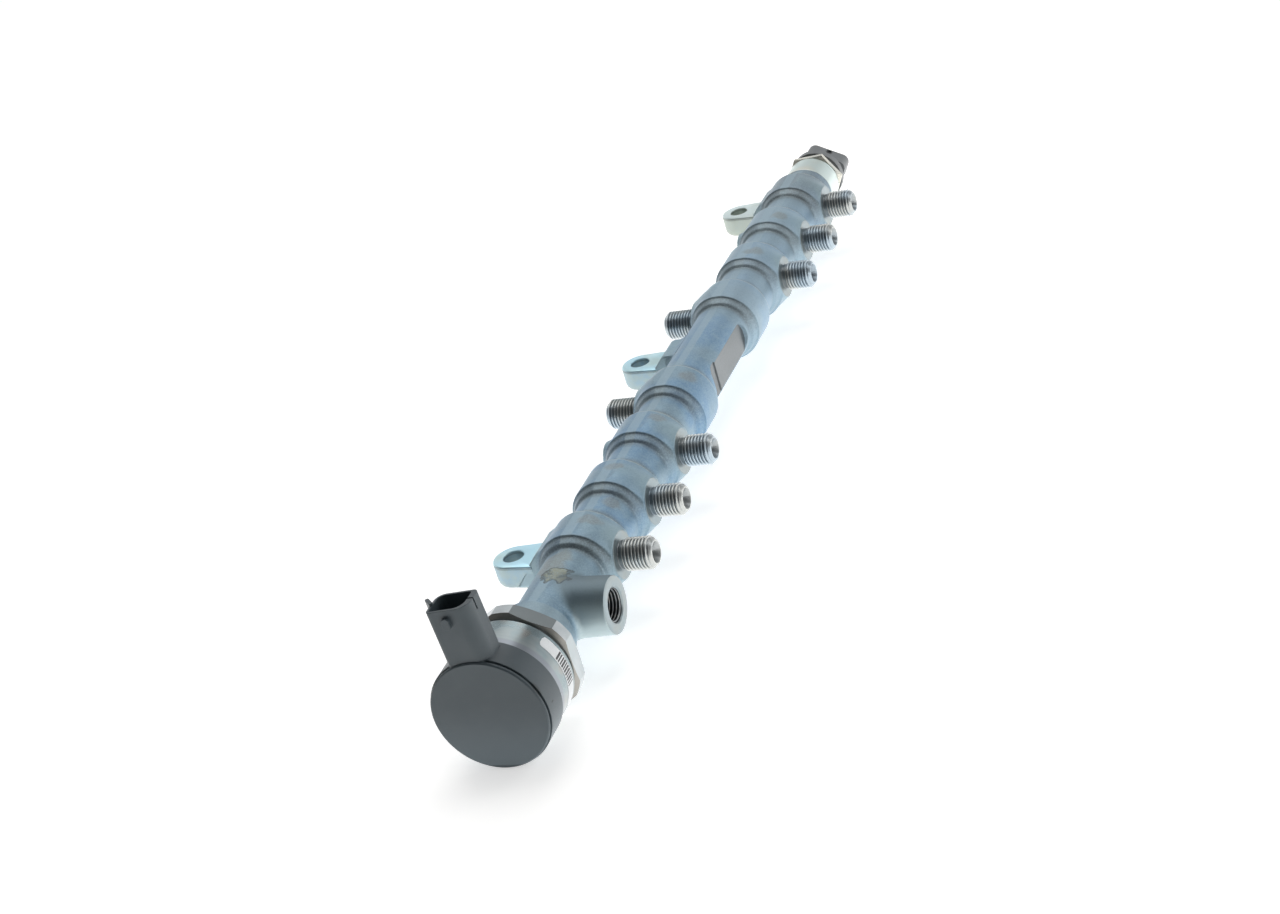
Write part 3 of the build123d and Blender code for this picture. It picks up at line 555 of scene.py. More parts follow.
def stub(name, station, reach, thread_steel, face_steel, zinc, bore_steel):
    """A threaded stub: bore, sealing cone and end face, helical thread, undercut, round spot face, and the flare that
    runs down into the rail."""
    side = stub_side(station)
    turn = full_turn(96)
    cone_depth = (cone_mouth - stub_bore) / math.tan(cone_half_angle)
    thread_start = stub_face + stub_undercut_width
    tip = turned_rows(side, station, [
        (reach - stub_bore_depth, 0.0), (reach - stub_bore_depth, stub_bore), (reach - cone_depth, stub_bore),
        (reach - 0.5 * cone_depth, (cone_mouth + stub_bore) / 2), (reach - 0.12, cone_mouth - 0.06),
        (reach, cone_mouth + 0.08), (reach, 4.8), (reach, stub_tip_radius - 0.15),
        (reach - 0.15, stub_tip_radius)], turn)
    a, t, rho = thread_rows(reach - 0.25, thread_start, stub_crest, stub_root, turn)
    cone = stub_tip_radius + (stub_crest - stub_tip_radius) * (reach - a) / stub_tip_chamfer
    fade = ease(a, thread_start, thread_start + 0.8)
    rho = np.minimum(np.minimum(rho, cone), stub_undercut + (rho - stub_undercut) * fade)
    thread = np.stack([side * a, station + rho * np.cos(t), rho * np.sin(t)], -1)
    foot = turned_rows(side, station, [
        (thread_start - 0.1, stub_undercut), (stub_face + 0.15, stub_undercut), (stub_face, stub_undercut + 0.15),
        (stub_face, 8.0), (stub_face, stub_face_radius - 0.2), (stub_face - 0.12, stub_face_radius)], turn)
    steps = 48
    start_polar = math.atan2(stub_face_radius + 0.03, stub_face - 0.16)
    end_polar = math.radians(50.0) + math.radians(36.0) * np.sin(turn) ** 2
    polar = start_polar + (end_polar - start_polar) * np.linspace(0.0, 1.0, steps)[:, None] ** 1.2
    flare, normals = growth((0.0, station, 0.0), side, polar, turn)
    points = np.concatenate([tip, thread, foot, flare])
    zones = [3, 3] + [0] * (len(tip) - 2 + len(thread)) + [0, 0, 1, 1, 1, 2] + [2] * (steps + 1)
    threaded_rows = slice(len(tip), len(tip) + len(thread))
    below_crest = np.clip((np.minimum(stub_crest, cone + 0.2) - rho) / (stub_crest - stub_root), 0.0, 1.0)
    chamfer = (a > reach - stub_tip_chamfer) * 0.45
    # depth: how deep a place lies in the bore, cone, thread and undercut, for painted shade; 0.45 on the tip chamfer
    # dulls it
    depth = np.zeros(points.shape[:2])
    depth[:len(tip)] = np.array([1.0, 1.0, 1.0, 0.8, 0.7, 0.3, 0.1, 0.3, 0.45])[:, None]
    depth[threaded_rows] = np.maximum(below_crest, chamfer)
    depth[threaded_rows.stop:threaded_rows.stop + 3] = 1.0
    made = grid_object(name, points, flip=side < 0, weld=True, sharp=30.0, zones=zones, soft=threaded_rows,
                       normals=normals, depth=depth, **forged_marks(points))
    return fit_to_rail(made, thread_steel, face_steel, zinc, bore_steel)


def return_boss(name, zinc, face_steel, bore_steel):
    """The return boss: drafted forging with a machined face, a chamfered mouth and an internal thread."""
    turn = full_turn(128)
    floor = boss_reach - boss_thread_depth
    inner = turned_rows(1.0, boss_station, [(floor - 5.0, 0.0), (floor - 5.0, 2.5), (floor - 1.2, 2.5),
                                            (floor, boss_thread_minor)], turn)
    a, t, rho = thread_rows(floor + 0.1, boss_reach - 0.5, boss_thread_minor, boss_thread_major, turn)
    rho = np.maximum(rho, boss_mouth - (boss_reach - a))
    thread = np.stack([a, boss_station + rho * np.cos(t), rho * np.sin(t)], -1)
    face = turned_rows(1.0, boss_station, [(boss_reach - 0.1, boss_mouth), (boss_reach, boss_mouth + 0.15),
                                           (boss_reach, 9.6), (boss_reach, boss_face_radius - 0.5),
                                           (boss_reach - 0.15, boss_face_radius - 0.12)], turn)
    steps = 80
    centre = (8.0, boss_station, 0.0)
    start_polar = math.atan2(boss_face_radius + 0.03, boss_reach - 8.45)
    end_polar = math.radians(75.0) + math.radians(40.0) * np.sin(turn) ** 2
    polar = start_polar + (end_polar - start_polar) * np.linspace(0.0, 1.0, steps)[:, None]
    flank, normals = growth(centre, 1.0, polar, turn)
    points = np.concatenate([inner, thread, face, flank])
    zones = [2] * (len(inner) + len(thread) - 2) + [1] * (len(face) + 1) + [0] * (steps + 2)
    threaded_rows = slice(len(inner), len(inner) + len(thread))
    # depth: how deep a place lies in the hole and the thread roots, for painted shade
    depth = np.zeros(points.shape[:2])
    depth[:len(inner)] = 1.0
    depth[threaded_rows] = np.clip((rho - boss_thread_minor) / (boss_thread_major - boss_thread_minor), 0.0, 1.0)
    made = grid_object(name, points, weld=True, sharp=30.0, zones=zones, soft=threaded_rows, normals=normals,
                       depth=depth, **forged_marks(points))
    return fit_to_rail(made, zinc, face_steel, bore_steel)


def lug_root(name, station, zinc):
    """Where a lug grows out of the rail: web and slab blended into the body, by rays from inside it."""
    turn = full_turn(200)
    steps = 90
    polar = np.maximum(np.linspace(0.0, 1.0, steps)[:, None], 1e-4) * np.full(turn.shape, math.radians(86.0))
    points, normals = growth((-8.0, station, -1.0), -1.0, polar, turn)
    made = grid_object(name, points, flip=True, weld=True, sharp=34.0, normals=normals, **forged_marks(points))
    return fit_to_rail(made, zinc)


def lug_outline(turn):
    """Distance from the hole's axis to the lug's outline in each direction: a round nose, and sides that widen
    towards the rail."""

    def inside(reach):
        """Whether a distance from the hole's axis lies inside the outline."""
        x, y = reach * np.cos(turn), reach * np.sin(turn)
        sides = np.abs(y) - lug_nose - (lug_root_half - lug_nose) * np.clip(x / 10.0, 0, 1)
        return np.where(x < 0, reach - lug_nose, np.maximum(sides, x - 12.0)) < 0

    return leaving(inside, turn.shape, outline_range, 24)


def lug(name, station, face_steel, zinc):
    """A bolt lug as a closed ring round its hole: chamfered hole, machined top, thin bright edge, drafted rough side
    and rounded underside."""
    turn = full_turn(180)
    hole = np.full(turn.shape, lug_hole)
    edge = lug_outline(turn)
    rows = [(hole, lug_bottom + 0.3, 1), (hole, lug_top - 0.3, 0), (hole + 0.3, lug_top, 0),
            (edge - 0.75, lug_top, 0), (edge - 0.45, lug_top - 0.08, 0), (edge - 0.12, lug_top - 0.45, 1),
            (edge, lug_top - 0.9, 1), (edge, lug_top - 2.5, 1), (edge - 0.02, lug_bottom + 4.5, 1),
            (edge - 0.06, lug_bottom + 3.0, 1), (edge - 0.35, lug_bottom + 1.7, 1),
            (edge - 1.0, lug_bottom + 0.75, 1), (edge - 2.0, lug_bottom + 0.15, 1), (edge - 2.9, lug_bottom, 1),
            (hole + 0.3, lug_bottom, 1)]
    ring, level, zones = zip(*rows)
    ring = np.array(ring)
    z = np.repeat(np.array(level)[:, None], len(turn), 1)
    points = np.stack([lug_line + ring * np.cos(turn), station + ring * np.sin(turn), z], -1)
    return fit_to_rail(grid_object(name, points, round_rows=True, sharp=30.0, zones=zones), face_steel, zinc)


def can_label(name, paper):
    """A blank paper label laid round the can: a thin closed strip, its corners rounded at both ends."""
    turn = np.linspace(*label_ends, 60)
    run = (turn[0] - turn) * can_radius
    end = np.minimum(run, run[::-1])
    trim = label_corner - np.sqrt(np.maximum(label_corner ** 2 - np.maximum(label_corner - end, 0.0) ** 2, 0.0))
    across = np.linspace(0.0, 1.0, 9)
    y = label_front + trim[:, None] + (label_back - label_front - 2 * trim[:, None]) * across
    outside = np.full(y.shape, can_radius + 0.07)
    inside = np.full(y.shape, can_radius + 0.01)
    y = np.concatenate([y, y[:, ::-1]], 1)
    radius = np.concatenate([outside, inside], 1)
    points = np.stack([radius * np.cos(turn[:, None]), y, radius * np.sin(turn[:, None])], -1)
    first, last = points[:1].mean(1, keepdims=True), points[-1:].mean(1, keepdims=True)
    points = np.concatenate([np.repeat(first, y.shape[1], 1), points, np.repeat(last, y.shape[1], 1)])
    along = np.concatenate([[run[0]], run, [run[-1]]])
    made = grid_object(name, points, weld=True, sharp=40.0, along=np.repeat(along[:, None], y.shape[1], 1))
    return fit_to_rail(made, paper, finish="can_zinc")


# Materials: every pattern reads Object coordinates in metres, so a noise of scale s has features of 1/s metres

class Nodes:
    """A node tree under way: short calls for the nodes that the finishes and the studio share."""

    def __init__(self, tree):
        self.nodes, self.links = tree.nodes, tree.links

    def feed(self, node, inputs):
        """Links inputs of a node, given by name or number, or sets them to plain values; a colour gets its alpha."""
        for key, value in inputs.items():
            target = node.inputs[key]
            if isinstance(value, bpy.types.NodeSocket):
                self.links.new(value, target)
            elif target.type == "RGBA":
                target.default_value = (*value, 1.0)
            else:
                target.default_value = value

    def add(self, kind, inputs, **settings):
        """A new node with its settings and its inputs."""
        node = self.nodes.new(kind)
        for key, value in settings.items():
            setattr(node, key, value)
        self.feed(node, inputs)
        return node

    def band(self, value, low, high, to_low=0.0, to_high=1.0):
        """A value brought smoothly from one range to another, held at its ends."""
        ranges = {"Value": value, "From Min": low, "From Max": high, "To Min": to_low, "To Max": to_high}
        return self.add("ShaderNodeMapRange", ranges, interpolation_type="SMOOTHSTEP").outputs["Result"]

    def maths(self, operation, a, b=0.0):
        """One sum of two values."""
        return self.add("ShaderNodeMath", {0: a, 1: b}, operation=operation).outputs[0]

    def times(self, a, b):
        """Two values multiplied."""
        return self.maths("MULTIPLY", a, b)


class Finish(Nodes):
    """A material under way: one shader with its values, and short calls for its patterns."""

    def __init__(self, name, **values):
        self.material = bpy.data.materials.new(name)
        self.material.use_nodes = True
        super().__init__(self.material.node_tree)
        self.shader = self.nodes["Principled BSDF"]
        self.feed(self.shader, {socket.replace("_", " "): value for socket, value in values.items()})
        self.place = self.add("ShaderNodeTexCoord", {}).outputs["Object"]

    def grain(self, size_mm, detail=3.0, roughness=0.55, stretch=(1.0, 1.0, 1.0), shift=0.0):
        """Noise with features of a size in millimetres; stretch below 1 draws it out along that axis."""
        mapping = self.add("ShaderNodeMapping", {"Vector": self.place, "Scale": stretch,
                                                 "Location": (shift, shift * 0.7, -shift)})
        return self.add("ShaderNodeTexNoise", {"Vector": mapping.outputs[0], "Scale": 1000.0 / size_mm,
                                               "Detail": detail, "Roughness": roughness}).outputs["Fac"]

    def blot(self, centre, half, edge=None, ragged=0.0, soft=0.15):
        """1 inside an ellipsoid of half sizes about a centre (millimetres about the rail axis), its edge made ragged
        by a noise."""
        middle = (centre[0] + axis_x, centre[1], centre[2] + axis_z)
        mapping = self.add("ShaderNodeMapping", {"Vector": self.place, "Scale": [1000.0 / h for h in half],
                                                 "Location": [-m / h for m, h in zip(middle, half)]})
        away = self.add("ShaderNodeVectorMath", {0: mapping.outputs[0]}, operation="LENGTH").outputs["Value"]
        if edge is not None:
            away = self.maths("ADD", away, self.times(self.maths("SUBTRACT", edge, 0.5), ragged))
        return self.band(away, 1.0 - soft, 1.0 + soft, 1.0, 0.0)

    def mix(self, factor, a, b):
        """Two colours mixed by a factor."""
        return self.add("ShaderNodeMix", {0: factor, 6: a, 7: b}, data_type="RGBA").outputs[2]

    def tints(self, colour, *rows):
        """A colour turned towards one tone after another. Each row: a value, its range, the share, the tone."""
        for value, low, high, most, tone in rows:
            colour = self.mix(self.band(value, low, high, 0.0, most), colour, tone)
        return colour

    def lay(self, colour, mask, share, tone):
        """A share of a tone laid over a colour where a mask is 1."""
        return self.mix(self.times(mask, share), colour, tone)

    def attribute(self, name):
        """A value that the mesh carries."""
        return self.add("ShaderNodeAttribute", {}, attribute_name=name).outputs["Fac"]

    def part(self, axis):
        """One coordinate, in millimetres about the rail axis."""
        along = self.add("ShaderNodeSeparateXYZ", {0: self.place}).outputs[axis]
        return self.maths("SUBTRACT", self.times(along, 1000.0), {"X": axis_x, "Y": 0.0, "Z": axis_z}[axis])

    def facing(self, direction):
        """How far the surface looks along a direction, from -1 to 1."""
        normal = self.add("ShaderNodeNewGeometry", {}).outputs["Normal"]
        return self.add("ShaderNodeVectorMath", {0: normal, 1: direction}, operation="DOT_PRODUCT").outputs["Value"]

    def bump(self, height, strength, distance_mm, soften_mm=0.0):
        """Turns a height into a bump, over edges softened by a radius."""
        node = self.add("ShaderNodeBump", {"Strength": strength, "Distance": distance_mm / 1000.0, "Height": height})
        if soften_mm:
            soft = self.add("ShaderNodeBevel", {"Radius": soften_mm / 1000.0}, samples=6)
            self.feed(node, {"Normal": soft.outputs[0]})
        self.feed(self.shader, {"Normal": node.outputs[0]})

    def done(self, colour, roughness):
        """Links colour and roughness to the shader and hands over the material."""
        self.feed(self.shader, {"Base Color": colour, "Roughness": roughness})
        return self.material

    def satin(self, colour, value, smooth, rough):
        """Hands over the material with a roughness that goes from smooth to rough as a noise rises."""
        return self.done(colour, self.band(value, 0.3, 0.7, smooth, rough))


rubbed_spots = (((5.8, -172.0, 16.0), (5.0, 3.6, 5.0)), ((7.2, -151.0, 11.7), (3.8, 3.6, 4.2)),
                ((9.2, -44.0, 14.3), (4.2, 4.0, 4.4)), ((7.4, -85.0, 15.3), (3.6, 3.4, 4.0)),
                ((2.0, -129.0, 16.9), (4.6, 2.8, 3.0)), ((4.5, 86.0, 16.4), (5.0, 3.4, 4.0)),
                ((6.5, 129.0, 15.7), (4.0, 3.2, 4.4)))


def zinc_forging():
    """Forged skin under blue-passivated zinc: speckle, slow blue and grey clouds, paler where blends rise, painted
    shade on the shoulders, a painted highlight on the rear rims, rubbed spots, one veined stain in a tan patch,
    painted shade on the return boss's top and painted light on its front, turned collars and the grey milled flat."""
    f = Finish("zinc_forging", Metallic=0.55, Specular_IOR_Level=0.5)
    fine = f.grain(0.75, roughness=0.7)
    mottle = f.grain(3.6, shift=0.21)
    clouds = f.grain(28.0, detail=2.0, shift=0.13)
    lobes = f.grain(6.5, detail=1.6, roughness=0.4, shift=0.37)
    along = f.part("Y")
    rise = f.attribute("rise")
    colour = f.tints((0.155, 0.275, 0.41),
                     (clouds, 0.38, 0.6, 1.0, (0.205, 0.30, 0.37)),
                     (mottle, 0.45, 0.7, 0.45, (0.25, 0.37, 0.45)),
                     (along, -20.0, 60.0, 0.38, (0.38, 0.48, 0.55)),
                     (along, 148.0, 172.0, 0.6, (0.18, 0.21, 0.23)),
                     (along, -150.0, -215.0, 0.4, (0.19, 0.255, 0.275)))
    colour = f.lay(colour, rise, 0.45, (0.35, 0.46, 0.47))
    colour = f.lay(colour, f.attribute("land"), 0.55, (0.33, 0.44, 0.50))
    # Painted shade on the shoulders, stronger on faces that look up
    shoulder_shade_share = f.band(f.facing((0.0, 0.0, 1.0)), -0.35, 0.5, 0.0, 0.62)
    colour = f.lay(colour, f.attribute("shoulder_shade"), shoulder_shade_share, (0.135, 0.125, 0.10))
    for centre, half in rubbed_spots:
        spot = f.blot(centre, half, edge=mottle, ragged=1.1, soft=0.3)
        colour = f.lay(colour, spot, 0.5, (0.235, 0.235, 0.21))
    tan = f.blot((-1.5, -199.0, 13.3), (6.2, 9.0, 4.0), edge=lobes, ragged=1.6, soft=0.25)
    colour = f.lay(colour, tan, 0.6, (0.235, 0.235, 0.20))
    rim_of_stain = f.blot((3.4, -209.8, 12.8), (4.9, 5.6, 5.0), edge=lobes, ragged=3.4, soft=0.05)
    heart_of_stain = f.blot((3.4, -209.8, 12.8), (4.0, 4.7, 4.3), edge=lobes, ragged=3.4, soft=0.09)
    colour = f.lay(colour, rim_of_stain, 0.8, (0.055, 0.065, 0.06))
    veins = f.band(mottle, 0.62, 0.48, 0.25, 0.9)
    colour = f.lay(colour, heart_of_stain, veins, (0.30, 0.32, 0.25))
    colour = f.tints(colour,
                     (fine, 0.42, 0.66, 0.42, (0.34, 0.45, 0.51)),
                     (fine, 0.42, 0.26, 0.42, (0.10, 0.135, 0.165)))
    # Painted shade on the return boss's faces that look up, painted light on those that look forward and down
    on_boss = f.times(rise, f.band(along, -192.0, -199.0))
    above = f.band(f.facing((0.0, -0.1, 0.995)), 0.3, 0.85, 0.0, 0.6)
    colour = f.lay(colour, on_boss, above, (0.06, 0.08, 0.095))
    boss_front_light = f.band(f.facing((0.1, -0.86, -0.5)), 0.15, 0.85, 0.0, 0.7)
    colour = f.lay(colour, on_boss, boss_front_light, (0.50, 0.58, 0.58))
    beside_lug = f.times(f.band(f.part("X"), -19.2, -20.6), f.band(f.part("Z"), lug_top + 0.1, lug_top - 0.4))
    colour = f.lay(colour, beside_lug, 0.85, (0.36, 0.48, 0.53))
    # Painted highlight along the bulges' rear rims
    colour = f.lay(colour, f.attribute("rim_highlight"), 0.65, (0.58, 0.60, 0.51))
    far_collar = f.band(along, far_collar_front - 0.3, far_collar_front + 0.1)
    cream = f.mix(f.band(clouds, 0.4, 0.6), (0.60, 0.69, 0.66), (0.68, 0.69, 0.61))
    colour = f.lay(colour, far_collar, 0.92, cream)
    near_collar = f.band(along, near_collar_back, near_collar_back - 0.4)
    colour = f.lay(colour, near_collar, 0.35, (0.30, 0.38, 0.42))
    over_flat = f.times(f.band(f.part("X"), flat_level + 0.15, flat_level + 0.05),
                        f.band(f.maths("ABSOLUTE", along), 29.5, 28.5))
    milled = f.times(f.band(f.facing((1.0, 0.0, 0.0)), 0.90, 0.96), over_flat)
    steel = f.mix(f.band(clouds, 0.35, 0.65), (0.105, 0.12, 0.127), (0.125, 0.14, 0.148))
    colour = f.mix(milled, colour, steel)
    smooth = f.maths("MAXIMUM", milled, far_collar)
    f.bump(f.times(fine, f.maths("SUBTRACT", 1.0, f.times(smooth, 0.9))), 0.3, 0.2)
    return f.done(colour, f.maths("SUBTRACT", f.band(fine, 0.3, 0.7, 0.45, 0.55), f.times(smooth, 0.17)))


def lug_zinc():
    """Paler zinc of the lugs: forged side with a brownish edge below, a painted shade line just under the top edge,
    creamier towards the far end.
    """
    f = Finish("lug_zinc", Metallic=0.5)
    fine = f.grain(0.8, detail=4.0, roughness=0.7)
    mottle = f.grain(4.0, detail=4.0, shift=0.3)
    low = f.maths("ADD", f.part("Z"), f.times(mottle, 5.0))
    # A painted shade line 1.1 mm under the lug's top
    line = f.maths("ABSOLUTE", f.maths("ADD", f.part("Z"), -lug_top + 1.1))
    colour = f.tints((0.33, 0.47, 0.55),
                     (mottle, 0.38, 0.62, 1.0, (0.38, 0.49, 0.51)),
                     (f.part("Y"), 60.0, 160.0, 0.85, (0.46, 0.50, 0.43)),
                     (low, -1.0, -5.0, 0.4, (0.27, 0.25, 0.18)),
                     (line, 0.5, 0.0, 0.55, (0.10, 0.11, 0.10)),
                     (fine, 0.35, 0.7, 0.3, (0.44, 0.52, 0.54)))
    f.bump(fine, 0.25, 0.2)
    return f.satin(colour, fine, 0.42, 0.56)


def lug_face():
    """Machined top of the lugs under zinc: smooth pale cyan, creamy at the far end, greenish smears."""
    f = Finish("lug_face", Metallic=0.6)
    slow = f.grain(11.0, detail=0.6, shift=0.2)
    fine = f.grain(1.4)
    colour = f.tints((0.50, 0.77, 0.88),
                     (slow, 0.38, 0.62, 1.0, (0.57, 0.79, 0.83)),
                     (f.part("Y"), 60.0, 160.0, 0.85, (0.74, 0.82, 0.79)),
                     (slow, 0.56, 0.72, 0.3, (0.40, 0.47, 0.40)))
    f.bump(fine, 0.05, 0.03)
    return f.satin(colour, fine, 0.32, 0.36)


def machined_zinc():
    """Machined face under zinc: pale, smoother, with faint smears."""
    f = Finish("machined_zinc", Metallic=0.65)
    fine = f.grain(1.6)
    slow = f.grain(11.0, detail=2.0, shift=0.2)
    colour = f.tints((0.22, 0.275, 0.295),
                     (slow, 0.4, 0.65, 1.0, (0.265, 0.30, 0.30)),
                     (fine, 0.5, 0.75, 0.3, (0.18, 0.22, 0.235)))
    f.bump(fine, 0.12, 0.1)
    return f.satin(colour, slow, 0.28, 0.4)


def thread_steel():
    """Rolled thread: bright crests, painted shade in the roots, the undercut and the cone bottom, a duller chamfer,
    and a hint of blue or straw from stub to stub."""
    f = Finish("thread_steel", Metallic=0.95)
    fine = f.grain(0.8)
    slow = f.grain(24.0, detail=2.0, shift=0.4)
    # Painted shade: the deeper a place lies (the depth attribute), the darker
    colour = f.tints((0.38, 0.45, 0.50),
                     (slow, 0.4, 0.6, 1.0, (0.46, 0.47, 0.45)),
                     (f.attribute("depth"), 0.2, 0.95, 0.6, (0.13, 0.155, 0.18)),
                     (fine, 0.55, 0.75, 0.3, (0.20, 0.215, 0.23)))
    f.bump(fine, 0.06, 0.05)
    return f.satin(colour, fine, 0.3, 0.42)


def bore_steel():
    """Steel inside the bores, with painted shade that turns it near black towards the bottoms and in the thread
    roots, and lighter crests on the return boss's thread.
    """
    f = Finish("bore_steel", Metallic=0.9)
    fine = f.grain(1.2)
    # Painted shade: near black where the depth attribute is high
    colour = f.tints((0.30, 0.33, 0.35),
                     (fine, 0.35, 0.65, 1.0, (0.36, 0.36, 0.35)),
                     (f.attribute("depth"), 0.1, 0.7, 0.95, (0.02, 0.024, 0.028)))
    return f.satin(colour, fine, 0.28, 0.4)


def hexagon_steel():
    """Valve hexagon: satin grey faces with fine specks, painted shade on the upper face and a little on the right
    face, and a brownish chamfer.
    """
    f = Finish("hexagon_steel", Metallic=0.85)
    fine = f.grain(0.9, detail=4.0, roughness=0.65)
    slow = f.grain(12.0, shift=0.5)
    face_turn = math.radians(62.0)
    shaded_upper_face = f.facing((math.cos(face_turn), 0.0, math.sin(face_turn)))
    shaded_right_face = f.facing((1.0, 0.0, 0.0))
    forward = f.facing((0.0, -1.0, 0.0))
    # The upper face gets painted shade, the right face a weaker painted shade
    colour = f.tints((0.38, 0.41, 0.42),
                     (slow, 0.38, 0.62, 1.0, (0.45, 0.47, 0.48)),
                     (fine, 0.5, 0.75, 0.3, (0.52, 0.55, 0.56)),
                     (shaded_upper_face, 0.975, 0.995, 0.85, (0.135, 0.155, 0.16)),
                     (shaded_right_face, 0.97, 0.995, 0.3, (0.28, 0.33, 0.35)))
    chamfer = f.times(f.band(forward, 0.2, 0.35), f.band(forward, 0.97, 0.9))
    colour = f.lay(colour, chamfer, 0.6, (0.24, 0.21, 0.165))
    colour = f.tints(colour,
                     (forward, -0.2, -0.35, 0.4, (0.24, 0.22, 0.18)),
                     (forward, 0.97, 0.995, 0.6, (0.20, 0.195, 0.175)))
    f.bump(fine, 0.1, 0.08, soften_mm=0.12)
    return f.satin(colour, fine, 0.3, 0.42)


def can_zinc():
    """Magnet can: smooth cyan-grey zinc with faint pink and straw tints, lavender next to the cap."""
    f = Finish("can_zinc", Metallic=0.85)
    lines = f.grain(2.0, stretch=(0.1, 2.4, 0.1))
    slow = f.grain(12.0, detail=2.0, shift=0.55)
    straw = f.grain(9.0, detail=2.0, shift=0.8)
    colour = f.tints((0.215, 0.27, 0.285),
                     (slow, 0.4, 0.6, 1.0, (0.265, 0.30, 0.305)),
                     (straw, 0.52, 0.7, 0.5, (0.29, 0.26, 0.23)),
                     (f.part("Y"), -268.8, -269.8, 0.8, (0.22, 0.235, 0.265)),
                     (lines, 0.45, 0.7, 0.12, (0.16, 0.18, 0.19)))
    f.bump(lines, 0.04, 0.05, soften_mm=0.2)
    return f.satin(colour, slow, 0.24, 0.34)


def sensor_steel():
    """Sensor hexagon and shell: bright creamy zinc."""
    f = Finish("sensor_steel", Metallic=0.7)
    fine = f.grain(0.9)
    slow = f.grain(8.0, detail=2.0, shift=0.45)
    f.bump(fine, 0.06, 0.06, soften_mm=0.12)
    return f.satin(f.mix(f.band(slow, 0.38, 0.62), (0.60, 0.60, 0.55), (0.68, 0.66, 0.58)), fine, 0.26, 0.38)


def label_paper():
    """White label paper with plain irregular bars from its middle to its lower end."""
    f = Finish("label_paper", Metallic=0.0)
    along, height = f.attribute("along"), f.part("Y")
    waves = f.maths("ADD", f.maths("SINE", f.times(along, 5.1)), f.times(f.maths("SINE", f.times(along, 8.3)), 0.5))
    bars = f.band(waves, -0.4, -0.3)
    for value, low, high in ((along, 8.0, 8.2), (along, 21.6, 21.4), (height, -264.0, -263.9),
                             (height, -259.1, -259.2)):
        bars = f.times(bars, f.band(value, low, high))
    paper = f.tints((0.72, 0.74, 0.75), (f.grain(0.6), 0.4, 0.7, 0.3, (0.62, 0.65, 0.66)))
    return f.done(f.mix(bars, paper, (0.022, 0.024, 0.027)), 0.5)


def moulded_plastic(name, colour, pale, shade_and_marks=(), soften=0.35, paler_low=0.0):
    """Glass-filled moulded plastic: satin, with fine grain, faint flow clouds, paler towards the underside, and dark
    patches at given places, for painted shade and small marks."""
    f = Finish(name, Metallic=0.0, Specular_IOR_Level=0.45)
    fine = f.grain(0.5, detail=4.0, roughness=0.7)
    slow = f.grain(18.0, shift=0.6)
    tone = f.tints(colour, (slow, 0.35, 0.65, 1.0, pale), (fine, 0.55, 0.8, 0.3, [1.4 * c for c in pale]))
    # Paler towards the underside, by height
    if paler_low:
        tone = f.tints(tone, (f.part("Z"), 8.0, -24.0, paler_low, [2.4 * c for c in pale]))
    # Dark patches at given places: painted shade in hollows and small dark marks
    for centre, half, strength in shade_and_marks:
        tone = f.lay(tone, f.blot(centre, half, soft=0.25), strength, [0.3 * c for c in colour])
    f.bump(fine, 0.12, 0.08, soften_mm=soften)
    return f.satin(tone, fine, 0.42, 0.52)


def plain_inner(name, colour, metal, rough):
    """Finish of an inner piece: one tone with a fine variation."""
    f = Finish(name, Metallic=metal)
    fine = f.grain(1.5)
    return f.satin(f.mix(f.band(fine, 0.35, 0.65), colour, [0.7 * c for c in colour]), fine, rough, rough + 0.12)


def dress(node, material):
    """Puts a material on a carried-over solid."""
    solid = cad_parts[node]
    if not solid.material_slots:
        solid.data.materials.append(material)
    for place in solid.material_slots:
        place.material = material


# Building

forged = zinc_forging()
faced = machined_zinc()
threaded = thread_steel()
bored = bore_steel()
lug_top_finish = lug_face()
lug_side_finish = lug_zinc()

near_skin = fit_to_rail(skin("rail_skin_near", near_end, -piece_joint), forged)
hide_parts("rail_body")
fit_to_rail(skin("rail_skin_middle", -piece_joint, piece_joint), forged)
fit_to_rail(skin("rail_skin_far", piece_joint, far_end), forged)
for number, station in enumerate(stations, 1):
    stub(f"stub_{number}", station, pump_reach if station in pump_stations else injector_reach,
         threaded, faced, forged, bored)
return_boss("return_boss", forged, faced, bored)
for number, station in enumerate(lug_stations, 1):
    lug_root(f"lug_root_{number}", station, forged)
    lug(f"lug_{number}", station, lug_top_finish, lug_side_finish)
can_label("can_label", label_paper())

# Painted shade in the groove behind the cap's disc on the upper right, and a small dark patch on the band's right
# side
cap_shade_and_spot = (((21.9, -285.2, 10.0), (2.2, 1.3, 3.4), 0.75), ((24.1, -280.7, 1.2), (1.0, 1.0, 0.35), 0.8))
dress("valve_housing", hexagon_steel())
dress("magnet_can", can_zinc())
dress("end_cap", moulded_plastic("slate_plastic", (0.047, 0.064, 0.074), (0.057, 0.075, 0.085), shade_and_marks=cap_shade_and_spot,
                                  paler_low=0.6))
dress("sensor_body", sensor_steel())
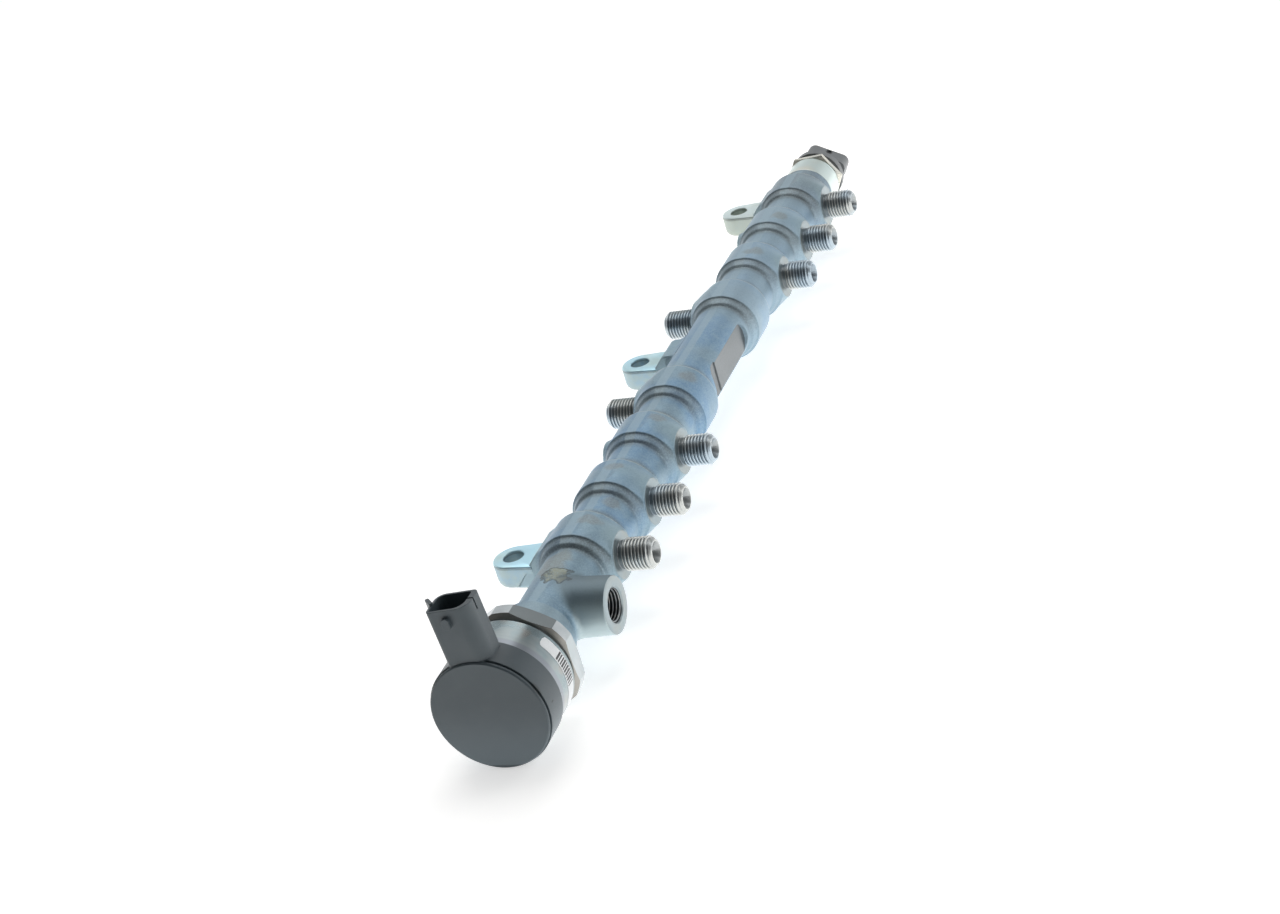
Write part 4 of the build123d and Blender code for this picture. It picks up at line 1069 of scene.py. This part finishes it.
# Painted shade inside the latch window on the plug's top
latch_window_shade = (((3.5, 237.5, 5.6), (1.7, 2.5, 1.7), 0.95),)
dress("sensor_connector", moulded_plastic("grey_plastic", (0.16, 0.17, 0.175), (0.19, 0.20, 0.205),
                                          shade_and_marks=latch_window_shade, soften=0.25))
inner = {
    "hard_steel": ((0.30, 0.31, 0.32), 1.0, 0.25, ("valve_seat", "valve_ball", "valve_pin")),
    "soft_iron": ((0.28, 0.28, 0.27), 1.0, 0.4, ("armature", "spring_shim")),
    "stainless": ((0.50, 0.50, 0.49), 1.0, 0.3, ("nose_strainer", "armature_cover", "sensor_element")),
    "spring_steel": ((0.35, 0.35, 0.36), 1.0, 0.3, ("valve_spring",)),
    "bobbin_plastic": ((0.05, 0.05, 0.05), 0.0, 0.5, ("coil_bobbin",)),
    "copper_wire": ((0.72, 0.36, 0.18), 1.0, 0.3, ("coil_winding",)),
    "seal_rubber": ((0.02, 0.02, 0.02), 0.0, 0.6, ("nose_o_ring", "can_o_ring", "sensor_seal_ring")),
    "backup_plastic": ((0.75, 0.72, 0.66), 0.0, 0.5, ("backup_ring",)),
    "tin_contacts": ((0.62, 0.62, 0.60), 1.0, 0.28, ("valve_contact_pins", "sensor_contact_pins")),
    "board_green": ((0.03, 0.16, 0.08), 0.0, 0.4, ("sensor_circuit_board",)),
}
for name, (colour, metal, rough, nodes) in inner.items():
    finish = plain_inner(name, colour, metal, rough)
    for node in nodes:
        dress(node, finish)


# Floor, light and camera

def pale_floor():
    """Pale floor: diffuse, lifted for rays that come from the camera or a mirror, so that it shows white and keeps
    its shadow."""
    f = Finish("pale_floor", Specular_IOR_Level=0.0, Emission_Color=(1.0, 1.0, 1.0))
    ray = f.add("ShaderNodeLightPath", {}).outputs
    seen = f.maths("MAXIMUM", ray["Is Camera Ray"], ray["Is Glossy Ray"])
    f.feed(f.shader, {"Emission Strength": f.times(seen, 0.55)})
    return f.done((0.90, 0.885, 0.865), 0.9)


floor_level = cad_box[0].z
floor_half = 6.0
floor_corners = [(floor_half * x, floor_half * y, floor_level) for x, y in ((-1, -1), (1, -1), (1, 1), (-1, 1))]
floor_mesh = bpy.data.meshes.new("floor")
floor_mesh.from_pydata(floor_corners, [], [(0, 1, 2, 3)])
floor_mesh.materials.append(pale_floor())
floor = bpy.data.objects.new("floor", floor_mesh)
bpy.context.scene.collection.objects.link(floor)

# The studio: bright low walls behind and at the sides, a calmer ceiling and a dim front; the camera sees plain white
world = bpy.data.worlds.new("studio")
bpy.context.scene.world = world
world.use_nodes = True
studio = Nodes(world.node_tree)
direction = studio.add("ShaderNodeTexCoord", {}).outputs["Generated"]
towards = studio.add("ShaderNodeSeparateXYZ", {0: direction}).outputs
walls = studio.band(towards["Z"], 0.55, 0.25, 0.34, 1.1)
sky = studio.nodes["Background"]
studio.feed(sky, {"Color": (0.955, 0.978, 1.0), "Strength": studio.band(towards["Y"], -0.45, 0.35, 0.12, walls)})
white = studio.add("ShaderNodeBackground", {"Color": (1.0, 1.0, 1.0), "Strength": 1.0})
from_camera = studio.add("ShaderNodeLightPath", {}).outputs["Is Camera Ray"]
backdrop = studio.add("ShaderNodeMixShader", {0: from_camera, 1: sky.outputs[0], 2: white.outputs[0]})
studio.feed(studio.nodes["World Output"], {"Surface": backdrop.outputs[0]})


def soft_lamp(name, place, aim, size, power):
    """A square area lamp that looks at a point."""
    lamp = bpy.data.lights.new(name, "AREA")
    lamp.shape, lamp.size, lamp.energy = "SQUARE", size, power
    made = bpy.data.objects.new(name, lamp)
    made.location = place
    made.rotation_mode = "QUATERNION"
    made.rotation_quaternion = (Vector(aim) - Vector(place)).to_track_quat("-Z", "Y")
    made.visible_camera = False
    bpy.context.scene.collection.objects.link(made)


rail_middle = (0.03, 0.0, 0.0)
soft_lamp("overhead_light", (-0.2, 0.55, 1.4), rail_middle, 1.4, 12.0)
soft_lamp("side_light", (1.2, 0.5, 0.9), rail_middle, 0.6, 2.5)
soft_lamp("low_right_light", (1.05, -0.35, 0.14), rail_middle, 0.5, 1.6)
table_level = floor_level + 0.0005
soft_lamp("table_light", (0.1, -0.1, table_level), (0.1, -0.1, table_level + 1.0), 1.6, 5.5)

camera_place = Vector((0.44502, -0.96775, 0.46113))
camera_forward = Vector((-0.3885, 0.8187, -0.4229)).normalized()
camera_up = Vector((0.0882, 0.4899, 0.8673))
camera_right = camera_forward.cross(camera_up).normalized()
camera_up = camera_right.cross(camera_forward)
lens = bpy.data.cameras.new("camera")
lens.lens = 69.05
lens.sensor_width = 36.0
lens.sensor_fit = "HORIZONTAL"
lens.clip_end = 30.0
camera = bpy.data.objects.new("camera", lens)
camera.matrix_world = Matrix.Translation(camera_place) @ Matrix((camera_right, camera_up, -camera_forward)) \
    .transposed().to_4x4()
bpy.context.scene.collection.objects.link(camera)
bpy.context.scene.camera = camera
bpy.context.scene.view_settings.view_transform = "Standard"
